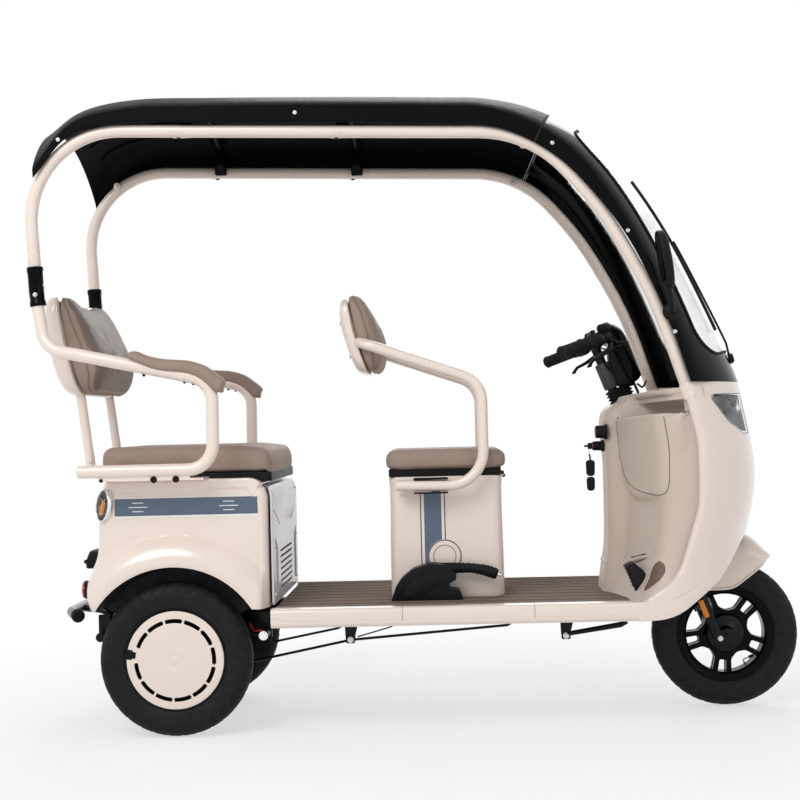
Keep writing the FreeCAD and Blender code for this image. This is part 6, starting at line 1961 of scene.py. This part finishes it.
def small_parts():
    """Spring, axle and arm bolts, end caps of the arms, rubbers under the driver's arms, two brake wires."""
    pieces = []
    for side in SIDES:
        pieces.append(hexbolt("spring_bolt", (R + 228, side * 262, 258), (0, side, 0), "chrome", 10, 8))
        pieces += [hexbolt("axle_bolt", (R + dx, side * 262, 246), (0, side, 0), "zinc", 8, 6) for dx in (35, 92)]
    merge("spring_bolts", pieces)
    pieces = []
    for side in SIDES:
        for x, size in ((R - 36, 9), (R + 23, 9), (R - 176, 5)):
            pieces.append(lathe("arm_bolt", [(size, -1), (size, 5), (size * 0.8, 8), (0, 8.6)],
                                (x, side * (ARM_Y + 6), 694), "black", aim=(0, side, 0), count=24))
    merge("arm_bolts", pieces)
    cap = [(17.1, -4), (17.1, 0), (16.0, 2.4), (12, 4.4), (6, 5.4), (0, 5.6)]
    merge("arm_caps", [lathe("arm_cap", cap, (R - 236, side * (ARM_Y + 4), 718), "cream_tube", aim=(-1, 0, 0), count=36)
                       for side in SIDES])
    pieces, (low, high) = [], span("driver_arm_frame")
    for side in SIDES:
        for z0, z1 in ((low.z + 2, low.z + 6), (low.z + 40, low.z + 46)):
            pieces.append(solid("arm_rubber", plate(R + 646, R + 741, z0, z1, 2),
                                *sorted((side * (high.y - 26), side * (high.y - 2))), "black", bevel=1.0))
    merge("arm_rubbers", pieces)
    for name, line, radius, material in (
            ("brake_wire", [(190, -250, 292, 0), (200, -256, 270, 10), (222, -262, 274, 10), (236, -258, 262, 0)], 2.6,
             "red"),
            ("brake_wire_dark", [(150, -240, 300, 0), (196, -252, 262, 16), (240, -250, 250, 12), (262, -240, 232, 0)],
             3.4, "rubber")):
        tube(name, rounded([(R + x, y, z, r) for x, y, z, r in line], False, 6), radius, material, 8)


def brake_linkage():
    """Rods from the pedal to the rear brakes, in two hangers under the rails."""
    low, high = span("brake_rods")
    y, top = (low.y + high.y) / 2, high.z
    rods = [((R + 184, 173), (R + 456, 226), 3.8, 3.8), ((R + 450, 226), (R + 896, 259), 3.8, 3.8),
            ((R + 240, 225), (R + 424, 260), 3.4, 3.4), ((R + 478, 235), (R + 570, 260), 2.0, 2.0),
            ((R + 1058, 231), (F - 310, 254), 6.5, 8.0)]
    pieces = []
    for (x0, z0), (x1, z1), r0, r1 in rods:
        line = [(x0, y, z0), (x1, y, z1)] + ([(x1 + 16, y, z1 + 9)] if z1 > 250 else [])   # bent up into the rails
        pieces.append(tube("brake_rod", line, [r0, r1, r1][:len(line)], "enamel", 14))
    for x in (R + 458, R + 1058):
        shape = flat([(x - 12, 217, 4), (x + 12, 217, 4), (x + 14, 240, 4), (x + 26, top, 2), (x - 16, top, 2),
                      (x - 14, 236, 4)], 4)
        pieces.append(solid("rod_hanger", shape, y - 5, y + 5, "enamel", bevel=1.0))
        pieces.append(hexbolt("rod_nut", (x, y - 4, 227), (0, -1, 0), "zinc", 7, 5))
    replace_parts(merge("brake_linkage", pieces), "brake_rods")


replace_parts(tail_lamp(-1), "tail_lamps")
tail_lamp(1)
plate_lamp()
bumper()
small_parts()
brake_linkage()


# ==== floor, light and camera ====
def any_ray(tree):
    """Socket that is 1 for what the camera sees directly, in a reflection or through glass."""
    path = tree.nodes.new("ShaderNodeLightPath")
    socket = path.outputs["Is Camera Ray"]
    for name in ("Is Glossy Ray", "Is Transmission Ray"):
        most = tree.nodes.new("ShaderNodeMath")
        most.operation = "MAXIMUM"
        tree.links.new(socket, most.inputs[0])
        tree.links.new(path.outputs[name], most.inputs[1])
        socket = most.outputs[0]
    return socket


def studio_floor():
    """Pale floor, brighter away from the vehicle for what the camera sees."""
    me = bpy.data.meshes.new("floor_sheet")
    me.from_pydata([(-30, -30, 0), (30, -30, 0), (30, 30, 0), (-30, 30, 0)], [], [(0, 1, 2, 3)])
    floor = bpy.data.objects.new("floor_sheet", me)
    bpy.context.scene.collection.objects.link(floor)
    n = Nodes("studio_floor")
    n.set(Base_Color=(0.94, 0.94, 0.94, 1.0), Roughness=0.85, Specular_IOR_Level=0.1)
    glow, mix = n.add("ShaderNodeEmission", Strength=1.0), n.add("ShaderNodeMixShader")
    seen, far = any_ray(n.tree), n.texture("ShaderNodeVectorMath", operation="LENGTH")
    fade = n.add("ShaderNodeMapRange", From_Min=1.1, From_Max=2.2, To_Min=0.6, To_Max=1.0)
    share = n.add("ShaderNodeMath", operation="MULTIPLY")
    for source, into in ((far.outputs["Value"], fade.inputs["Value"]), (seen, share.inputs[0]),
                         (fade.outputs["Result"], share.inputs[1]), (share.outputs[0], mix.inputs[0]),
                         (n.bsdf.outputs["BSDF"], mix.inputs[1]), (glow.outputs["Emission"], mix.inputs[2]),
                         (mix.outputs[0], n.out.inputs["Surface"])):
        n.tree.links.new(source, into)
    me.materials.append(n.mat)


def sky():
    """Even light, dimmer for what it lights than for what is seen of it."""
    world = bpy.data.worlds.new("studio")
    bpy.context.scene.world = world
    world.use_nodes = True
    tree = world.node_tree
    tree.nodes.clear()
    out, *lights, mix = (tree.nodes.new("ShaderNode" + kind) for kind in
                         ("OutputWorld", "Background", "Background", "MixShader"))
    tree.links.new(any_ray(tree), mix.inputs[0])
    for light, strength, into in zip(lights, (0.52, 1.0), mix.inputs[1:]):
        light.inputs["Color"].default_value = (1.0, 1.0, 1.0, 1.0)
        light.inputs["Strength"].default_value = strength
        tree.links.new(light.outputs[0], into)
    tree.links.new(mix.outputs[0], out.inputs["Surface"])


def lamps():
    """Three large soft lamps."""
    for name, place, aim, size, power in (("key", (-2.2, -4.0, 4.2), (0.0, 0.0, 0.7), 3.2, 138.0),
                                          ("fill", (3.6, -3.6, 2.4), (0.2, 0.0, 0.7), 3.0, 22.0),
                                          ("back", (0.5, 4.2, 3.4), (0.0, 0.0, 0.8), 3.4, 84.0)):
        data = bpy.data.lights.new(name, "AREA")
        data.shape, data.size, data.energy = "DISK", size, power
        ob = bpy.data.objects.new(name, data)
        ob.location = place
        ob.rotation_euler = (Vector(aim) - Vector(place)).to_track_quat("-Z", "Y").to_euler()
        bpy.context.scene.collection.objects.link(ob)


def camera():
    """Camera at the right of the vehicle, a little behind its middle."""
    yaw, pitch, roll = radians(-1.90), radians(0.99), radians(-1.40)
    ahead = Vector((sin(yaw) * cos(pitch), cos(yaw) * cos(pitch), sin(pitch)))
    level = Vector((cos(yaw), -sin(yaw), 0))
    up = level.cross(ahead)
    axes = (level * cos(roll) + up * sin(roll), up * cos(roll) - level * sin(roll), -ahead)
    data = bpy.data.cameras.new("camera")
    data.lens, data.sensor_width, data.clip_end = 68.8, 36.0, 200.0
    ob = bpy.data.objects.new("camera", data)
    ob.matrix_world = Matrix([(*row, place) for row, place in zip(zip(*axes), (0.084, -4.424, 0.819))] + [(0, 0, 0, 1)])
    bpy.context.scene.collection.objects.link(ob)
    bpy.context.scene.camera = ob


studio_floor()
sky()
lamps()
camera()
bpy.context.scene.view_settings.view_transform = "Standard"
